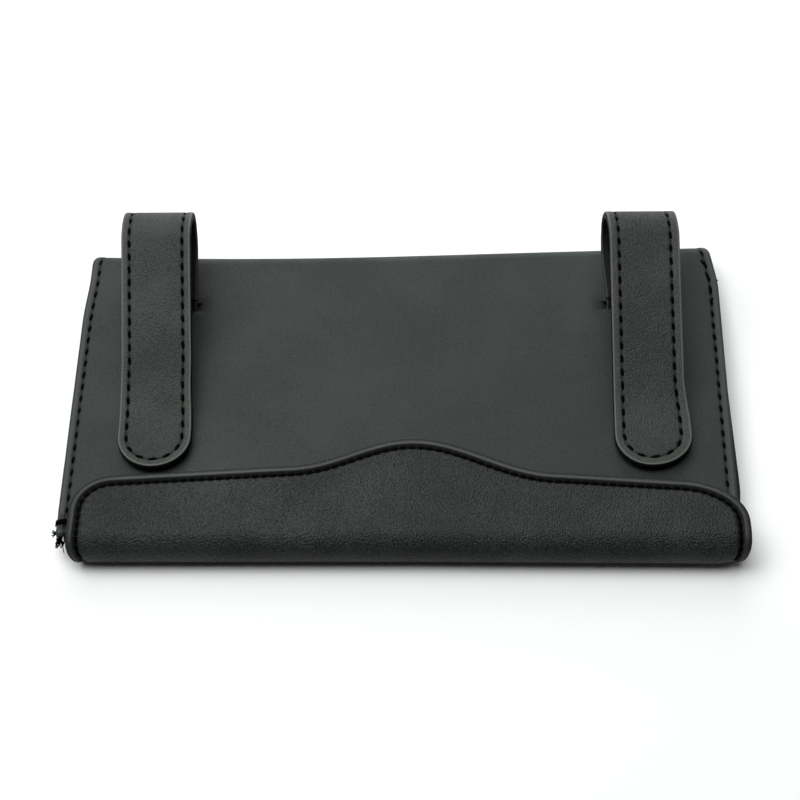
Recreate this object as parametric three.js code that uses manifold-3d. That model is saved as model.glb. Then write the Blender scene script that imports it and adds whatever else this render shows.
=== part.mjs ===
// Sun-visor tissue holder: a flat leather wallet, lying on its front with its back and straps up.
// Millimetres. +X runs to the right, +Y away from the viewer, +Z up. The origin is on the table,
// under the middle of the whole object's box.
//
// One skin of leather runs from the front cover round the near roll to the flap on the back.
// The roll is cut into a lip on the cover, a spine and a lip on the flap, with a pivot line between
// each two. A strap is cut the same way into a sewn root, a curl and a front with a round tip.
// Each pivot line lies on the outer face of the leather, so a cut opens only on the inner side.

import * as THREE from "three";
import { mergeVertices } from "three/addons/utils/BufferGeometryUtils.js";
import Module from "manifold-3d";

const wasm = await Module();
wasm.setup();

// Whole case
const case_width = 225;
const case_depth = 127.5;
const cover_thickness = 1;
const lining_thickness = 0.4;
const board_thickness = 1.2;
const pocket_height = 5;
const layer_gap = 0.2;
const cut_gap = 0.3;
const far_corner_radius = 5;
const board_edge_inset = 9;
const board_end_inset = 2;
const board_corner_radius = 4;
const facet_turn = THREE.MathUtils.degToRad(7.5);
const overrun = 5;

// Tissue slot in the front
const slot_length = 120;
const slot_width = 26;
const slot_board_margin = 6;

// Flap
const flap_offset = 3.3;
const flap_board_thickness = 1;
const flap_crest_reach = 36.5;
const flap_shoulder_reach = 22.2;
const flap_shoulder_fall = 2;
const hump_half_width = 54;
const flap_corner_across = 16;
const flap_corner_along = 14;
const flap_board_inset = 5;
const flap_lining_inset = 1.2;
const hump_steps = 24;
const corner_steps = 6;

// Magnets
const magnet_diameter = 14;
const magnet_clearance = 0.5;
const magnet_edge_distance = 13;

// Side gussets
const gusset_hem = 2;
const gusset_mouth_depth = 10;
const gusset_far_depth = 3;
const gusset_end_gap = 1;

// Straps
const strap_width = 24.3;
const strap_edge_distance = 15.85;
const ply_thickness = 1.1;
const ply_gap = 0.2;
const tip_clearance = 2;
const slit_far_distance = 24;
const loop_radius = 11.5;
const rear_length = 16.4;
const landing_radius = 45;
const landing_flat = 10.4;
const tail_length = 14;
const tail_bend_radius = 1;
const strap_panel_gap = 0.3;
const rear_rise = THREE.MathUtils.degToRad(17);
const slit_climb = THREE.MathUtils.degToRad(45);
const slit_clearance = 0.5;
const tail_window_margin = 0.6;

// Hook-and-loop patches
const patch_thickness = 0.6;
const patch_width = 19;
const hook_patch_length = 20;
const hook_patch_tip_margin = 4;
const loop_patch_length = 34;

// Heights that follow from the layers
const shell_height = cover_thickness + layer_gap + board_thickness + layer_gap + lining_thickness;
const panel_top = 2 * shell_height + pocket_height;
const flap_stack = lining_thickness + layer_gap + flap_board_thickness + layer_gap + cover_thickness;
const roll_radius = (panel_top + layer_gap + flap_stack) / 2;
const far_radius = panel_top / 2;
const near_axis_y = roll_radius - case_depth / 2;
const far_axis_y = case_depth / 2 - far_radius;
const back_near_y = near_axis_y + cut_gap;
const half_width = case_width / 2;
const board_half_width = half_width - board_edge_inset;
const board_near_y = near_axis_y + board_end_inset;
const board_far_y = far_axis_y - board_end_inset;
const front_board_z = cover_thickness + layer_gap;
const front_lining_z = front_board_z + board_thickness + layer_gap;
const back_lining_z = front_lining_z + lining_thickness + pocket_height;
const back_board_z = back_lining_z + lining_thickness + layer_gap;
const back_cover_z = panel_top - cover_thickness;
const flap_lining_z = panel_top + layer_gap;
const flap_board_z = flap_lining_z + lining_thickness + layer_gap;

const finishes = {
  smooth_leather: { color: 0x2b2e2d, roughness: 0.55, metalness: 0 },
  grained_leather: { color: 0x2f3230, roughness: 0.6, metalness: 0 },
  strap_leather: { color: 0x343635, roughness: 0.6, metalness: 0 },
  lining_cloth: { color: 0x1d1e1e, roughness: 0.9, metalness: 0 },
  board: { color: 0x6e6258, roughness: 0.85, metalness: 0 },
  magnet: { color: 0x9a9c9e, roughness: 0.3, metalness: 1 },
  fastening_tape: { color: 0x141414, roughness: 0.95, metalness: 0 },
};

const holder = new THREE.Group();
const pieces = new THREE.Group();
// The flap is sewn off centre, so the box of the whole object is centred by half of that.
pieces.position.x = -flap_offset / 2;
holder.add(pieces);

function addPiece(name, geometry, finish) {
  geometry.deleteAttribute("uv");
  geometry.computeVertexNormals();
  const mesh = new THREE.Mesh(geometry, new THREE.MeshStandardMaterial(finish));
  mesh.name = name;
  pieces.add(mesh);
}

// A closed geometry as a solid that can be cut, and a solid back as a geometry.
function solidOf(geometry) {
  const bare = geometry.clone();
  bare.deleteAttribute("normal");
  bare.deleteAttribute("uv");
  const merged = mergeVertices(bare, 1e-5);
  return new wasm.Manifold(new wasm.Mesh({
    numProp: 3,
    vertProperties: new Float32Array(merged.attributes.position.array),
    triVerts: new Uint32Array(merged.index.array),
  }));
}

function geometryOf(solid) {
  const mesh = solid.getMesh();
  const geometry = new THREE.BufferGeometry();
  geometry.setAttribute("position", new THREE.BufferAttribute(mesh.vertProperties, 3));
  geometry.setIndex(new THREE.BufferAttribute(mesh.triVerts, 1));
  return geometry.toNonIndexed();
}

// A plan outline raised from one height by a thickness, with its holes cut through.
function plate(outline, z, thickness, holes = []) {
  const raise = (points, from, height) => {
    const shape = new THREE.Shape(points);
    return new THREE.ExtrudeGeometry(shape, { depth: height, bevelEnabled: false }).translate(0, 0, from);
  };
  const whole = raise(outline, z, thickness);
  if (!holes.length) return whole;
  const cut = (solid, hole) => solid.subtract(solidOf(raise(hole, z - overrun, thickness + 2 * overrun)));
  return geometryOf(holes.reduce(cut, solidOf(whole)));
}

// A side view, with points (y, z), carried across from x_left to x_right.
function band(profile, x_left, x_right) {
  const shape = new THREE.Shape(profile);
  const geometry = new THREE.ExtrudeGeometry(shape, { depth: x_right - x_left, bevelEnabled: false });
  const turn = new THREE.Matrix4().makeBasis(
    new THREE.Vector3(0, 1, 0),
    new THREE.Vector3(0, 0, 1),
    new THREE.Vector3(1, 0, 0),
  );
  return geometry.applyMatrix4(turn).translate(x_left, 0, 0);
}

function rectangle(x_left, y_near, x_right, y_far) {
  return [
    new THREE.Vector2(x_left, y_near),
    new THREE.Vector2(x_right, y_near),
    new THREE.Vector2(x_right, y_far),
    new THREE.Vector2(x_left, y_far),
  ];
}

// A rectangle with round corners, one radius for the near pair and one for the far pair.
function roundedRectangle(x_left, y_near, x_right, y_far, near_radius, far_radius_plan) {
  const corners = [
    [x_left, y_near, near_radius, Math.PI, 1, 1],
    [x_right, y_near, near_radius, -Math.PI / 2, -1, 1],
    [x_right, y_far, far_radius_plan, 0, -1, -1],
    [x_left, y_far, far_radius_plan, Math.PI / 2, 1, -1],
  ];
  const points = [];
  for (const [x, y, radius, start, inward_x, inward_y] of corners) {
    const steps = radius > 0 ? corner_steps : 0;
    for (let step = 0; step <= steps; step++) {
      const angle = start + (steps ? (step / steps) * (Math.PI / 2) : 0);
      const centre_x = x + inward_x * radius;
      const centre_y = y + inward_y * radius;
      points.push(new THREE.Vector2(centre_x + radius * Math.cos(angle), centre_y + radius * Math.sin(angle)));
    }
  }
  return points;
}

// A slot with round ends, or a disc when its length is its width.
function stadium(centre_x, centre_y, length, width) {
  const x = length / 2;
  const y = width / 2;
  return roundedRectangle(centre_x - x, centre_y - y, centre_x + x, centre_y + y, y, y);
}

// Points on an arc in the side view, from one angle to another.
function arc(centre_y, centre_z, radius, from, to) {
  const steps = Math.max(1, Math.ceil(Math.abs(to - from) / facet_turn));
  return Array.from({ length: steps + 1 }, (_, step) => {
    const angle = from + ((to - from) * step) / steps;
    return new THREE.Vector2(centre_y + radius * Math.cos(angle), centre_z + radius * Math.sin(angle));
  });
}

// A stretch of the near roll, as a side view between two radii. Angles are measured from +Y.
function rollStretch(outer, inner, from, to) {
  return [
    ...arc(near_axis_y, roll_radius, outer, from, to),
    ...arc(near_axis_y, roll_radius, inner, to, from),
  ];
}

// Plan of the flap. The edge is level at the shoulders and swells to a hump in the middle.
function flapOutline(inset, y_near) {
  const half = half_width - inset;
  const shoulder = flap_shoulder_reach - inset;
  const across = flap_corner_across - inset;
  const along = flap_corner_along - inset;
  const corner_x = half - across;
  const corner_reach = shoulder - flap_shoulder_fall;
  const points = [];
  const place = (u, reach) => points.push(new THREE.Vector2(flap_offset + u, near_axis_y + reach));
  place(-half, y_near - near_axis_y);
  place(half, y_near - near_axis_y);
  for (let step = 0; step <= corner_steps; step++) {
    const angle = ((step / corner_steps) * Math.PI) / 2;
    place(corner_x + across * Math.cos(angle), corner_reach - along + along * Math.sin(angle));
  }
  for (let step = 0; step <= hump_steps; step++) {
    const u = hump_half_width * (1 - (2 * step) / hump_steps);
    const swell = (1 + Math.cos((Math.PI * u) / hump_half_width)) / 2;
    place(u, shoulder + (flap_crest_reach - flap_shoulder_reach) * swell);
  }
  for (let step = 0; step <= corner_steps; step++) {
    const angle = Math.PI / 2 + ((step / corner_steps) * Math.PI) / 2;
    place(-corner_x + across * Math.cos(angle), corner_reach - along + along * Math.sin(angle));
  }
  return points;
}

const magnet_y = near_axis_y + flap_crest_reach - magnet_edge_distance;
const magnet_hole_diameter = magnet_diameter + 2 * magnet_clearance;

function addMagnet(name, z, thickness) {
  const disc = stadium(flap_offset, magnet_y, magnet_diameter, magnet_diameter);
  addPiece(name, plate(disc, z, thickness), finishes.magnet);
}

// A strap leaves its slit short of the far edge, and its tip ends short of the flap's shoulder.
const tail_outer_z = back_board_z + (board_thickness - ply_thickness) / 2;
const climb_outer_radius = tail_bend_radius + ply_thickness;
const strap_thickness = 2 * ply_thickness + ply_gap;
const tip_top_z = panel_top + 3 * layer_gap + 2 * patch_thickness + strap_thickness;
const emerging_y = case_depth / 2 - slit_far_distance;
const emerging_z = panel_top + strap_panel_gap;
const climb_rise = climb_outer_radius * (1 - Math.cos(slit_climb));
const level_rise = tail_bend_radius * (Math.cos(rear_rise) - Math.cos(slit_climb));
const climb_length = (emerging_z - tail_outer_z - climb_rise - level_rise) / Math.sin(slit_climb);
const strap_tip_y = near_axis_y + flap_shoulder_reach + tip_clearance;
const loop_centre = new THREE.Vector2(
  emerging_y + rear_length * Math.cos(rear_rise) - loop_radius * Math.sin(rear_rise),
  emerging_z + rear_length * Math.sin(rear_rise) + loop_radius * Math.cos(rear_rise),
);
const landing_centre = new THREE.Vector2(strap_tip_y + landing_flat, tip_top_z + landing_radius);
// The front is the straight line that touches both circles and crosses between their centres.
const centre_distance = loop_centre.distanceTo(landing_centre);
const crossing = Math.asin((loop_radius + landing_radius) / centre_distance);
const front_fall = crossing - Math.asin((landing_centre.y - loop_centre.y) / centre_distance);
const front_length = centre_distance * Math.cos(crossing);
const loop_turn = Math.PI + front_fall - rear_rise;

// The walk along a strap's outer face, from its sewn tail to its tip, as straights and bends.
// A bend to the left, as seen from +X with +Y forward, is positive and has its outer face outside.
const strap_walk = [
  { name: "tail", length: tail_length },
  { name: "climb", radius: climb_outer_radius, turn: slit_climb },
  { name: "through_slit", length: climb_length },
  { name: "level", radius: tail_bend_radius, turn: rear_rise - slit_climb },
  { name: "rear", length: rear_length },
  { name: "loop", radius: loop_radius, turn: loop_turn },
  { name: "front", length: front_length },
  { name: "landing", radius: landing_radius, turn: -front_fall },
  { name: "tip", length: landing_flat },
];

// Each leg gets its start and its length along the outer face.
let walked = 0;
let leg_y = 0;
let leg_z = tail_outer_z;
let leg_heading = 0;
for (const leg of strap_walk) {
  leg.start = walked;
  leg.y = leg_y;
  leg.z = leg_z;
  leg.heading = leg_heading;
  if (leg.turn) {
    leg.length = leg.radius * Math.abs(leg.turn);
    const side = Math.sign(leg.turn) * leg.radius;
    leg_y += side * (Math.sin(leg_heading + leg.turn) - Math.sin(leg_heading));
    leg_z += side * (Math.cos(leg_heading) - Math.cos(leg_heading + leg.turn));
    leg_heading += leg.turn;
  } else {
    leg_y += leg.length * Math.cos(leg_heading);
    leg_z += leg.length * Math.sin(leg_heading);
  }
  walked += leg.length;
}
const strap_length = walked;
const legNamed = (name) => strap_walk.find((leg) => leg.name === name);
const walk_shift_y = strap_tip_y - leg_y;

// The point at a distance along the walk, sunk from the outer face by a depth.
function walkPoint(distance, depth) {
  const leg = strap_walk.findLast((each) => each.start <= distance) ?? strap_walk[0];
  const along = distance - leg.start;
  let y = leg.y;
  let z = leg.z;
  let heading = leg.heading;
  if (leg.turn) {
    const turned = (leg.turn * along) / leg.length;
    const side = Math.sign(leg.turn) * leg.radius;
    y += side * (Math.sin(heading + turned) - Math.sin(heading));
    z += side * (Math.cos(heading) - Math.cos(heading + turned));
    heading += turned;
  } else {
    y += along * Math.cos(heading);
    z += along * Math.sin(heading);
  }
  const inward_y = -Math.sin(heading);
  const inward_z = Math.cos(heading);
  return new THREE.Vector2(walk_shift_y + y + inward_y * depth, z + inward_z * depth);
}

// Distances at which a stretch of the walk needs a point: its ends, the leg ends and steps in bends.
function walkDistances(from, to) {
  const distances = [from];
  for (const leg of strap_walk) {
    const steps = leg.turn ? Math.ceil(Math.abs(leg.turn) / facet_turn) : 1;
    for (let step = 0; step < steps; step++) {
      const distance = leg.start + (leg.length * step) / steps;
      if (distance > from && distance < to) distances.push(distance);
    }
  }
  return [...distances, to];
}

// A ply of the strap between two distances and two depths, as a side view.
function plyProfile(from, to, top, bottom) {
  const distances = walkDistances(from, to);
  return [
    ...distances.map((distance) => walkPoint(distance, top)),
    ...distances.toReversed().map((distance) => walkPoint(distance, bottom)),
  ];
}

const loop_leg = legNamed("loop");
const pivot_low = loop_leg.start + loop_leg.length / 4;
const pivot_high = loop_leg.start + (3 * loop_leg.length) / 4;
const rear_start = legNamed("rear").start;
const plies = [
  { part: "outer", top: 0, bottom: ply_thickness, root_from: 0 },
  { part: "lining", top: ply_thickness + ply_gap, bottom: strap_thickness, root_from: rear_start },
];

function addStrap(side, centre_x) {
  const left = centre_x - strap_width / 2;
  const right = centre_x + strap_width / 2;
  const tip_radius = strap_width / 2;
  const plan = roundedRectangle(left, strap_tip_y, right, case_depth, tip_radius, 0);
  const plan_solid = solidOf(plate(plan, 0, case_depth));
  for (const { part, top, bottom, root_from } of plies) {
    const half_gap = cut_gap / 2;
    const root = plyProfile(root_from, pivot_low - half_gap, top, bottom);
    const bend = plyProfile(pivot_low + half_gap, pivot_high - half_gap, top, bottom);
    const front = plyProfile(pivot_high + half_gap, strap_length, top, bottom);
    addPiece(`${side}_root_${part}`, band(root, left, right), finishes.strap_leather);
    addPiece(`${side}_bend_${part}`, band(bend, left, right), finishes.strap_leather);
    const front_solid = solidOf(band(front, left - overrun, right + overrun));
    addPiece(`${side}_strap_${part}`, geometryOf(front_solid.intersect(plan_solid)), finishes.strap_leather);
  }
  const hook_end = strap_length - hook_patch_tip_margin;
  const hook_top = strap_thickness + layer_gap;
  const hook = plyProfile(hook_end - hook_patch_length, hook_end, hook_top, hook_top + patch_thickness);
  const patch_left = centre_x - patch_width / 2;
  const patch_right = centre_x + patch_width / 2;
  addPiece(`${side}_hook_patch`, band(hook, patch_left, patch_right), finishes.fastening_tape);
  const patch_near = strap_tip_y + hook_patch_tip_margin;
  const loop = roundedRectangle(
    patch_left, patch_near, patch_right, patch_near + loop_patch_length,
    board_corner_radius / 2, board_corner_radius / 2,
  );
  addPiece(`${side}_loop_patch`, plate(loop, panel_top + layer_gap, patch_thickness), finishes.fastening_tape);
}

// Where a strap goes through the back panel: its slit in the cover and its window in the board.
function strapSlit(centre_x) {
  const climb = legNamed("through_slit");
  const slope = 1 / Math.tan(slit_climb);
  const y_at = (z) => walk_shift_y + climb.y + (z - climb.z) * slope;
  const ply_run = ply_thickness / Math.sin(slit_climb);
  const half = strap_width / 2 + slit_clearance;
  return rectangle(
    centre_x - half, y_at(back_cover_z) - ply_run - slit_clearance,
    centre_x + half, y_at(panel_top) + slit_clearance,
  );
}

function tailWindow(centre_x) {
  const half = strap_width / 2 + tail_window_margin;
  const level = legNamed("level");
  return rectangle(
    centre_x - half, walk_shift_y - tail_window_margin,
    centre_x + half, walk_shift_y + level.y + tail_window_margin,
  );
}

// A side strip folded inwards like a chevron, deep at the mouth and shallow at the far fold.
// Each section goes round from its upper outer corner. The two sections are joined by walls.
function gussetGeometry(mirror, x_lower_near) {
  const low = cover_thickness + layer_gap;
  const high = back_cover_z - layer_gap;
  const middle = (low + high) / 2;
  const section = (y, depth, x_upper, x_lower) => [
    [x_upper, y, high],
    [x_upper + mirror * depth, y, middle],
    [x_lower, y, low],
    [x_lower + mirror * gusset_hem, y, low],
    [x_upper + mirror * (depth + gusset_hem), y, middle],
    [x_upper + mirror * gusset_hem, y, high],
  ];
  const x_upper = mirror * (layer_gap - half_width);
  const near = section(near_axis_y + gusset_end_gap, gusset_mouth_depth, x_upper, x_lower_near);
  const far = section(far_axis_y - gusset_end_gap, gusset_far_depth, x_upper, x_upper);
  const corners = [...near, ...far];
  const count = near.length;
  const faces = [[0, 1, 5], [1, 4, 5], [1, 2, 4], [2, 3, 4]];
  const triangles = [];
  for (const [a, b, c] of faces) {
    triangles.push([a, b, c], [a + count, c + count, b + count]);
  }
  // The inner walls are split along the same diagonals as the outer ones, so the strip stays even.
  for (let edge = 0; edge < count; edge++) {
    const next = (edge + 1) % count;
    const outer_wall = edge < count / 2;
    if (outer_wall) triangles.push([edge, edge + count, next + count], [edge, next + count, next]);
    else triangles.push([edge, edge + count, next], [next, edge + count, next + count]);
  }
  const positions = [];
  for (const [a, b, c] of triangles) {
    const order = mirror > 0 ? [a, b, c] : [a, c, b];
    for (const corner of order) positions.push(...corners[corner]);
  }
  const geometry = new THREE.BufferGeometry();
  geometry.setAttribute("position", new THREE.Float32BufferAttribute(positions, 3));
  return geometry;
}

function addFront() {
  const slot = stadium(0, 0, slot_length, slot_width);
  const board_slot_length = slot_length + 2 * slot_board_margin;
  const board_slot_width = slot_width + 2 * slot_board_margin;
  // The front is sewn on true at the far fold and off centre at the roll, as the flap shows.
  const plan = [
    new THREE.Vector2(-half_width, far_axis_y - cut_gap / 2),
    new THREE.Vector2(flap_offset - half_width, near_axis_y),
    new THREE.Vector2(flap_offset - half_width, near_axis_y - roll_radius - overrun),
    new THREE.Vector2(flap_offset + half_width, near_axis_y - roll_radius - overrun),
    new THREE.Vector2(flap_offset + half_width, near_axis_y),
    new THREE.Vector2(half_width, far_axis_y - cut_gap / 2),
  ];
  const lip_end = -0.75 * Math.PI + cut_gap / 2 / roll_radius;
  const inner = roll_radius - cover_thickness;
  const side_view = [
    new THREE.Vector2(far_axis_y, cover_thickness),
    ...arc(near_axis_y, roll_radius, inner, -Math.PI / 2, lip_end),
    ...arc(near_axis_y, roll_radius, roll_radius, lip_end, -Math.PI / 2),
    new THREE.Vector2(far_axis_y, 0),
  ];
  const sheet = solidOf(band(side_view, -case_width, case_width));
  const cutter = solidOf(plate(plan, -overrun, 2 * overrun + roll_radius));
  const slot_cutter = solidOf(plate(slot, -overrun, 2 * overrun + cover_thickness));
  const cover = sheet.intersect(cutter).subtract(slot_cutter);
  addPiece("front_cover", geometryOf(cover), finishes.grained_leather);

  const outline = (inset) => roundedRectangle(
    inset - board_half_width, board_near_y + inset, board_half_width - inset, board_far_y - inset,
    board_corner_radius, board_corner_radius,
  );
  const board_slot = stadium(0, 0, board_slot_length, board_slot_width);
  addPiece("front_board", plate(outline(0), front_board_z, board_thickness, [board_slot]), finishes.board);
  addPiece("front_lining", plate(outline(0), front_lining_z, lining_thickness, [slot]), finishes.lining_cloth);
}

function addFarFold() {
  const side_view = [
    ...arc(far_axis_y, far_radius, far_radius, -Math.PI / 2, Math.PI / 2),
    ...arc(far_axis_y, far_radius, far_radius - cover_thickness, Math.PI / 2, -Math.PI / 2),
  ];
  const half_gap = cut_gap / 2;
  const tube = solidOf(band(side_view, -half_width - overrun, half_width + overrun));
  const plan = roundedRectangle(
    -half_width, far_axis_y + half_gap, half_width, far_axis_y + far_radius, 0, far_corner_radius,
  );
  const fold = tube.intersect(solidOf(plate(plan, -overrun, 2 * overrun + panel_top)));
  addPiece("far_fold", geometryOf(fold), finishes.smooth_leather);
}

function addBack(strap_centres) {
  const cover_plan = rectangle(-half_width, back_near_y, half_width, far_axis_y - cut_gap / 2);
  const slits = strap_centres.map(strapSlit);
  addPiece("back_cover", plate(cover_plan, back_cover_z, cover_thickness, slits), finishes.smooth_leather);
  const plan = roundedRectangle(
    -board_half_width, board_near_y, board_half_width, board_far_y,
    board_corner_radius, board_corner_radius,
  );
  const windows = strap_centres.map(tailWindow);
  const magnet_hole = stadium(flap_offset, magnet_y, magnet_hole_diameter, magnet_hole_diameter);
  const board = plate(plan, back_board_z, board_thickness, [...windows, magnet_hole]);
  addPiece("back_board", board, finishes.board);
  addPiece("back_lining", plate(plan, back_lining_z, lining_thickness), finishes.lining_cloth);
  addMagnet("back_magnet", back_board_z, board_thickness);
  for (const [side, mirror] of [["left", 1], ["right", -1]]) {
    const x_lower_near = mirror * (layer_gap - half_width) + flap_offset;
    addPiece(`${side}_gusset`, gussetGeometry(mirror, x_lower_near), finishes.smooth_leather);
  }
}

function addFlap() {
  const left = flap_offset - half_width;
  const right = flap_offset + half_width;
  const quarter = Math.PI / 4 - cut_gap / 2 / roll_radius;
  const inner = roll_radius - cover_thickness;
  const spine = rollStretch(roll_radius, inner, Math.PI - quarter, Math.PI + quarter);
  addPiece("spine_cover", band(spine, left, right), finishes.grained_leather);
  const lining_outer = inner - layer_gap;
  const lining_inner = lining_outer - lining_thickness;
  const spine_lining = rollStretch(lining_outer, lining_inner, Math.PI - quarter, Math.PI + quarter);
  const lining_left = left + flap_lining_inset;
  const lining_right = right - flap_lining_inset;
  addPiece("spine_lining", band(spine_lining, lining_left, lining_right), finishes.lining_cloth);

  const lip_start = Math.PI - quarter - cut_gap / roll_radius;
  const side_view = [
    new THREE.Vector2(case_depth, 2 * roll_radius),
    ...arc(near_axis_y, roll_radius, roll_radius, Math.PI / 2, lip_start),
    ...arc(near_axis_y, roll_radius, inner, lip_start, Math.PI / 2),
    new THREE.Vector2(case_depth, 2 * roll_radius - cover_thickness),
  ];
  const sheet = solidOf(band(side_view, left - overrun, right + overrun));
  const plan = flapOutline(0, near_axis_y - roll_radius - overrun);
  const cutter = solidOf(plate(plan, 0, 2 * roll_radius + overrun));
  addPiece("flap_cover", geometryOf(sheet.intersect(cutter)), finishes.grained_leather);

  const magnet_hole = stadium(flap_offset, magnet_y, magnet_hole_diameter, magnet_hole_diameter);
  const board_plan = flapOutline(flap_board_inset, board_near_y);
  const board = plate(board_plan, flap_board_z, flap_board_thickness, [magnet_hole]);
  addPiece("flap_board", board, finishes.board);
  const lining_plan = flapOutline(flap_lining_inset, near_axis_y);
  addPiece("flap_lining", plate(lining_plan, flap_lining_z, lining_thickness), finishes.lining_cloth);
  addMagnet("flap_magnet", flap_board_z, flap_board_thickness);
}

const strap_centre_x = half_width - strap_edge_distance - strap_width / 2;
const strap_centres = [-strap_centre_x, strap_centre_x];
addFront();
addFarFold();
addBack(strap_centres);
addFlap();
addStrap("left", strap_centres[0]);
addStrap("right", strap_centres[1]);

export default holder;
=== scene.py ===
# %% [markdown]
# # A sun-visor tissue wallet in black imitation leather
#
# The wallet lies on its front, so its back and its two visor straps are up. Every leather part is
# a sheet that was cut flat, turned at the edge, stitched and bent, and it is built in that order: a
# flat plan with its rim and groove, and a side view that the plan is bent along.

import math
from types import SimpleNamespace

import bmesh
import bpy
import numpy as np
from mathutils import Matrix, Vector


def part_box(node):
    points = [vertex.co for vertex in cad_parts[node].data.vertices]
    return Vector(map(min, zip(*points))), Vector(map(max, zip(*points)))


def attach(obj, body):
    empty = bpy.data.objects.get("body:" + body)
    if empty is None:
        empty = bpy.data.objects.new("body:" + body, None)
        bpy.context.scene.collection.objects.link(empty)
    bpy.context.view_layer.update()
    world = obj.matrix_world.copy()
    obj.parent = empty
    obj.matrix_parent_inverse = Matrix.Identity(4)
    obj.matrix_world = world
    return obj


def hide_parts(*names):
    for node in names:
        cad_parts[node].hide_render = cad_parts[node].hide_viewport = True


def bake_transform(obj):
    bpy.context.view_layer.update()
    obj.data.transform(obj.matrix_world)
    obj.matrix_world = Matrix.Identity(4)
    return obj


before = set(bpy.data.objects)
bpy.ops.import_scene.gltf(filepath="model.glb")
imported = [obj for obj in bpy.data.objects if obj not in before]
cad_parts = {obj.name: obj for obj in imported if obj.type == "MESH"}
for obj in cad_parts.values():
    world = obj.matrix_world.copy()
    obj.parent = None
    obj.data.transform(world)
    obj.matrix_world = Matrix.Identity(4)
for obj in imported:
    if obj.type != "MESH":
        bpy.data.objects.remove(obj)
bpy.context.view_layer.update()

# %% [markdown]
# ## Sizes
#
# The shapes are worked out in millimetres, as a pattern cutter does, and turned to metres once, when
# a mesh is made. What the CAD fixes is measured from its nodes. What it leaves out, such as the rims
# and the stitches, gets numbers of its own.

# %% Sizes from the CAD
MM = 0.001


def box_mm(node):
    """Lowest and highest corner of a CAD node, in millimetres."""
    low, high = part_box(node)
    return np.array(low) / MM, np.array(high) / MM


back_low, back_high = box_mm("back_cover")
flap_low, flap_high = box_mm("flap_cover")
case_x = (back_low[0] + back_high[0]) / 2
flap_x = (flap_low[0] + flap_high[0]) / 2
half_width = (back_high[0] - back_low[0]) / 2
panel_top = back_high[2]
flap_top = flap_high[2]
roll_radius = flap_top / 2
near_y = box_mm("spine_cover")[0][1] + roll_radius
far_radius = panel_top / 2
far_y = box_mm("far_fold")[1][1] - far_radius
strap_x = {s: (sum(b[0] for b in box_mm(s + "_bend_outer"))) / 2 for s in ("left", "right")}
strap_half = (box_mm("left_bend_outer")[1][0] - box_mm("left_bend_outer")[0][0]) / 2
print("half width", half_width, "roll", roll_radius, "strap centres", strap_x)

# %% [markdown]
# ## The camera
#
# The photo was taken with a long lens from above, a little to the right of the middle. The lens,
# the place and three angles were fitted to the wallet's edges, rolls and straps in the photo, so
# the camera is set from them and not moved by eye.

# %% Camera
FOCAL_PX = 2078.9
FRAME_PX = 800
SENSOR = 36.0
ELEVATION, YAW, ROLL = (math.radians(a) for a in (55.077, -3.198, -2.835))
CAMERA_PLACE = Vector((21.325, -410.814, 596.058)) * MM

sight = Vector((
    math.sin(YAW) * math.cos(ELEVATION),
    math.cos(YAW) * math.cos(ELEVATION),
    -math.sin(ELEVATION),
))
level = Vector((math.cos(YAW), -math.sin(YAW), 0))
raised = level.cross(sight)
turned_right = level * math.cos(ROLL) + raised * math.sin(ROLL)
turned_up = raised * math.cos(ROLL) - level * math.sin(ROLL)
lens = bpy.data.cameras.new("camera")
lens.sensor_width = SENSOR
lens.lens = FOCAL_PX / FRAME_PX * SENSOR
lens.clip_start, lens.clip_end = 0.05, 20
camera = bpy.data.objects.new("camera", lens)
bpy.context.scene.collection.objects.link(camera)
turn = Matrix((turned_right, turned_up, -sight)).transposed()
camera.matrix_world = Matrix.Translation(CAMERA_PLACE) @ turn.to_4x4()
bpy.context.scene.camera = camera
print("lens, mm:", round(lens.lens, 2))

# %% [markdown]
# ## Side views as walks
#
# Seen from the right, every leather part is a line of straights and bends: the back panel runs on
# into the far fold, a strap climbs out of its slit, turns over and comes down. One way to make
# such a part is a curve object with a bevel, but then the rim and the groove have no place of
# their own. Here the line is a function, so a flat pattern is bent along it and keeps its length.

# %% Bend a flat pattern along a walk
def walk(y, z, heading, legs):
    """Straights (length, 0) and bends (radius, turn) laid end to end from (y, z), as seen from +X
    with +Y forward. A left turn is positive. The outer face of the leather is on the right hand."""
    length = np.array([size * abs(bend) if bend else size for size, bend in legs])
    bends = np.array([bend for _, bend in legs])
    begin = np.concatenate([[0], np.cumsum(length)])
    head = heading + np.concatenate([[0], np.cumsum(bends)])
    chord = length * np.sinc(bends / (2 * np.pi))
    step_y, step_z = chord * np.cos(head[:-1] + bends / 2), chord * np.sin(head[:-1] + bends / 2)
    return SimpleNamespace(
        begin=begin, head=head, curve=bends / length, settle=lambda x, q, y: (0, 0),
        y=y + np.concatenate([[0], np.cumsum(step_y)]),
        z=z + np.concatenate([[0], np.cumsum(step_z)]),
    )


def place(path, x, q, depth=0.0):
    """Bends the pattern: a point at x across and q along goes to the walk's point at q, sunk
    below the outer face by depth. On a bend the chord is length * sin(t/2) / (t/2). At the end the
    walk's settle moves it a little in x and y, as soft goods are never quite square."""
    x, q, depth = np.broadcast_arrays(x, q, depth)
    leg = np.clip(np.searchsorted(path.begin, q, side="right") - 1, 0, len(path.curve) - 1)
    into = q - path.begin[leg]
    bend = path.curve[leg] * into
    chord = into * np.sinc(bend / (2 * np.pi))
    head = path.head[leg]
    y = path.y[leg] + chord * np.cos(head + bend / 2)
    z = path.z[leg] + chord * np.sin(head + bend / 2)
    aside, along = path.settle(x, q, y)
    return np.stack([x + aside, y - depth * np.sin(head + bend) + along,
                     z + depth * np.cos(head + bend)], -1)


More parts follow.
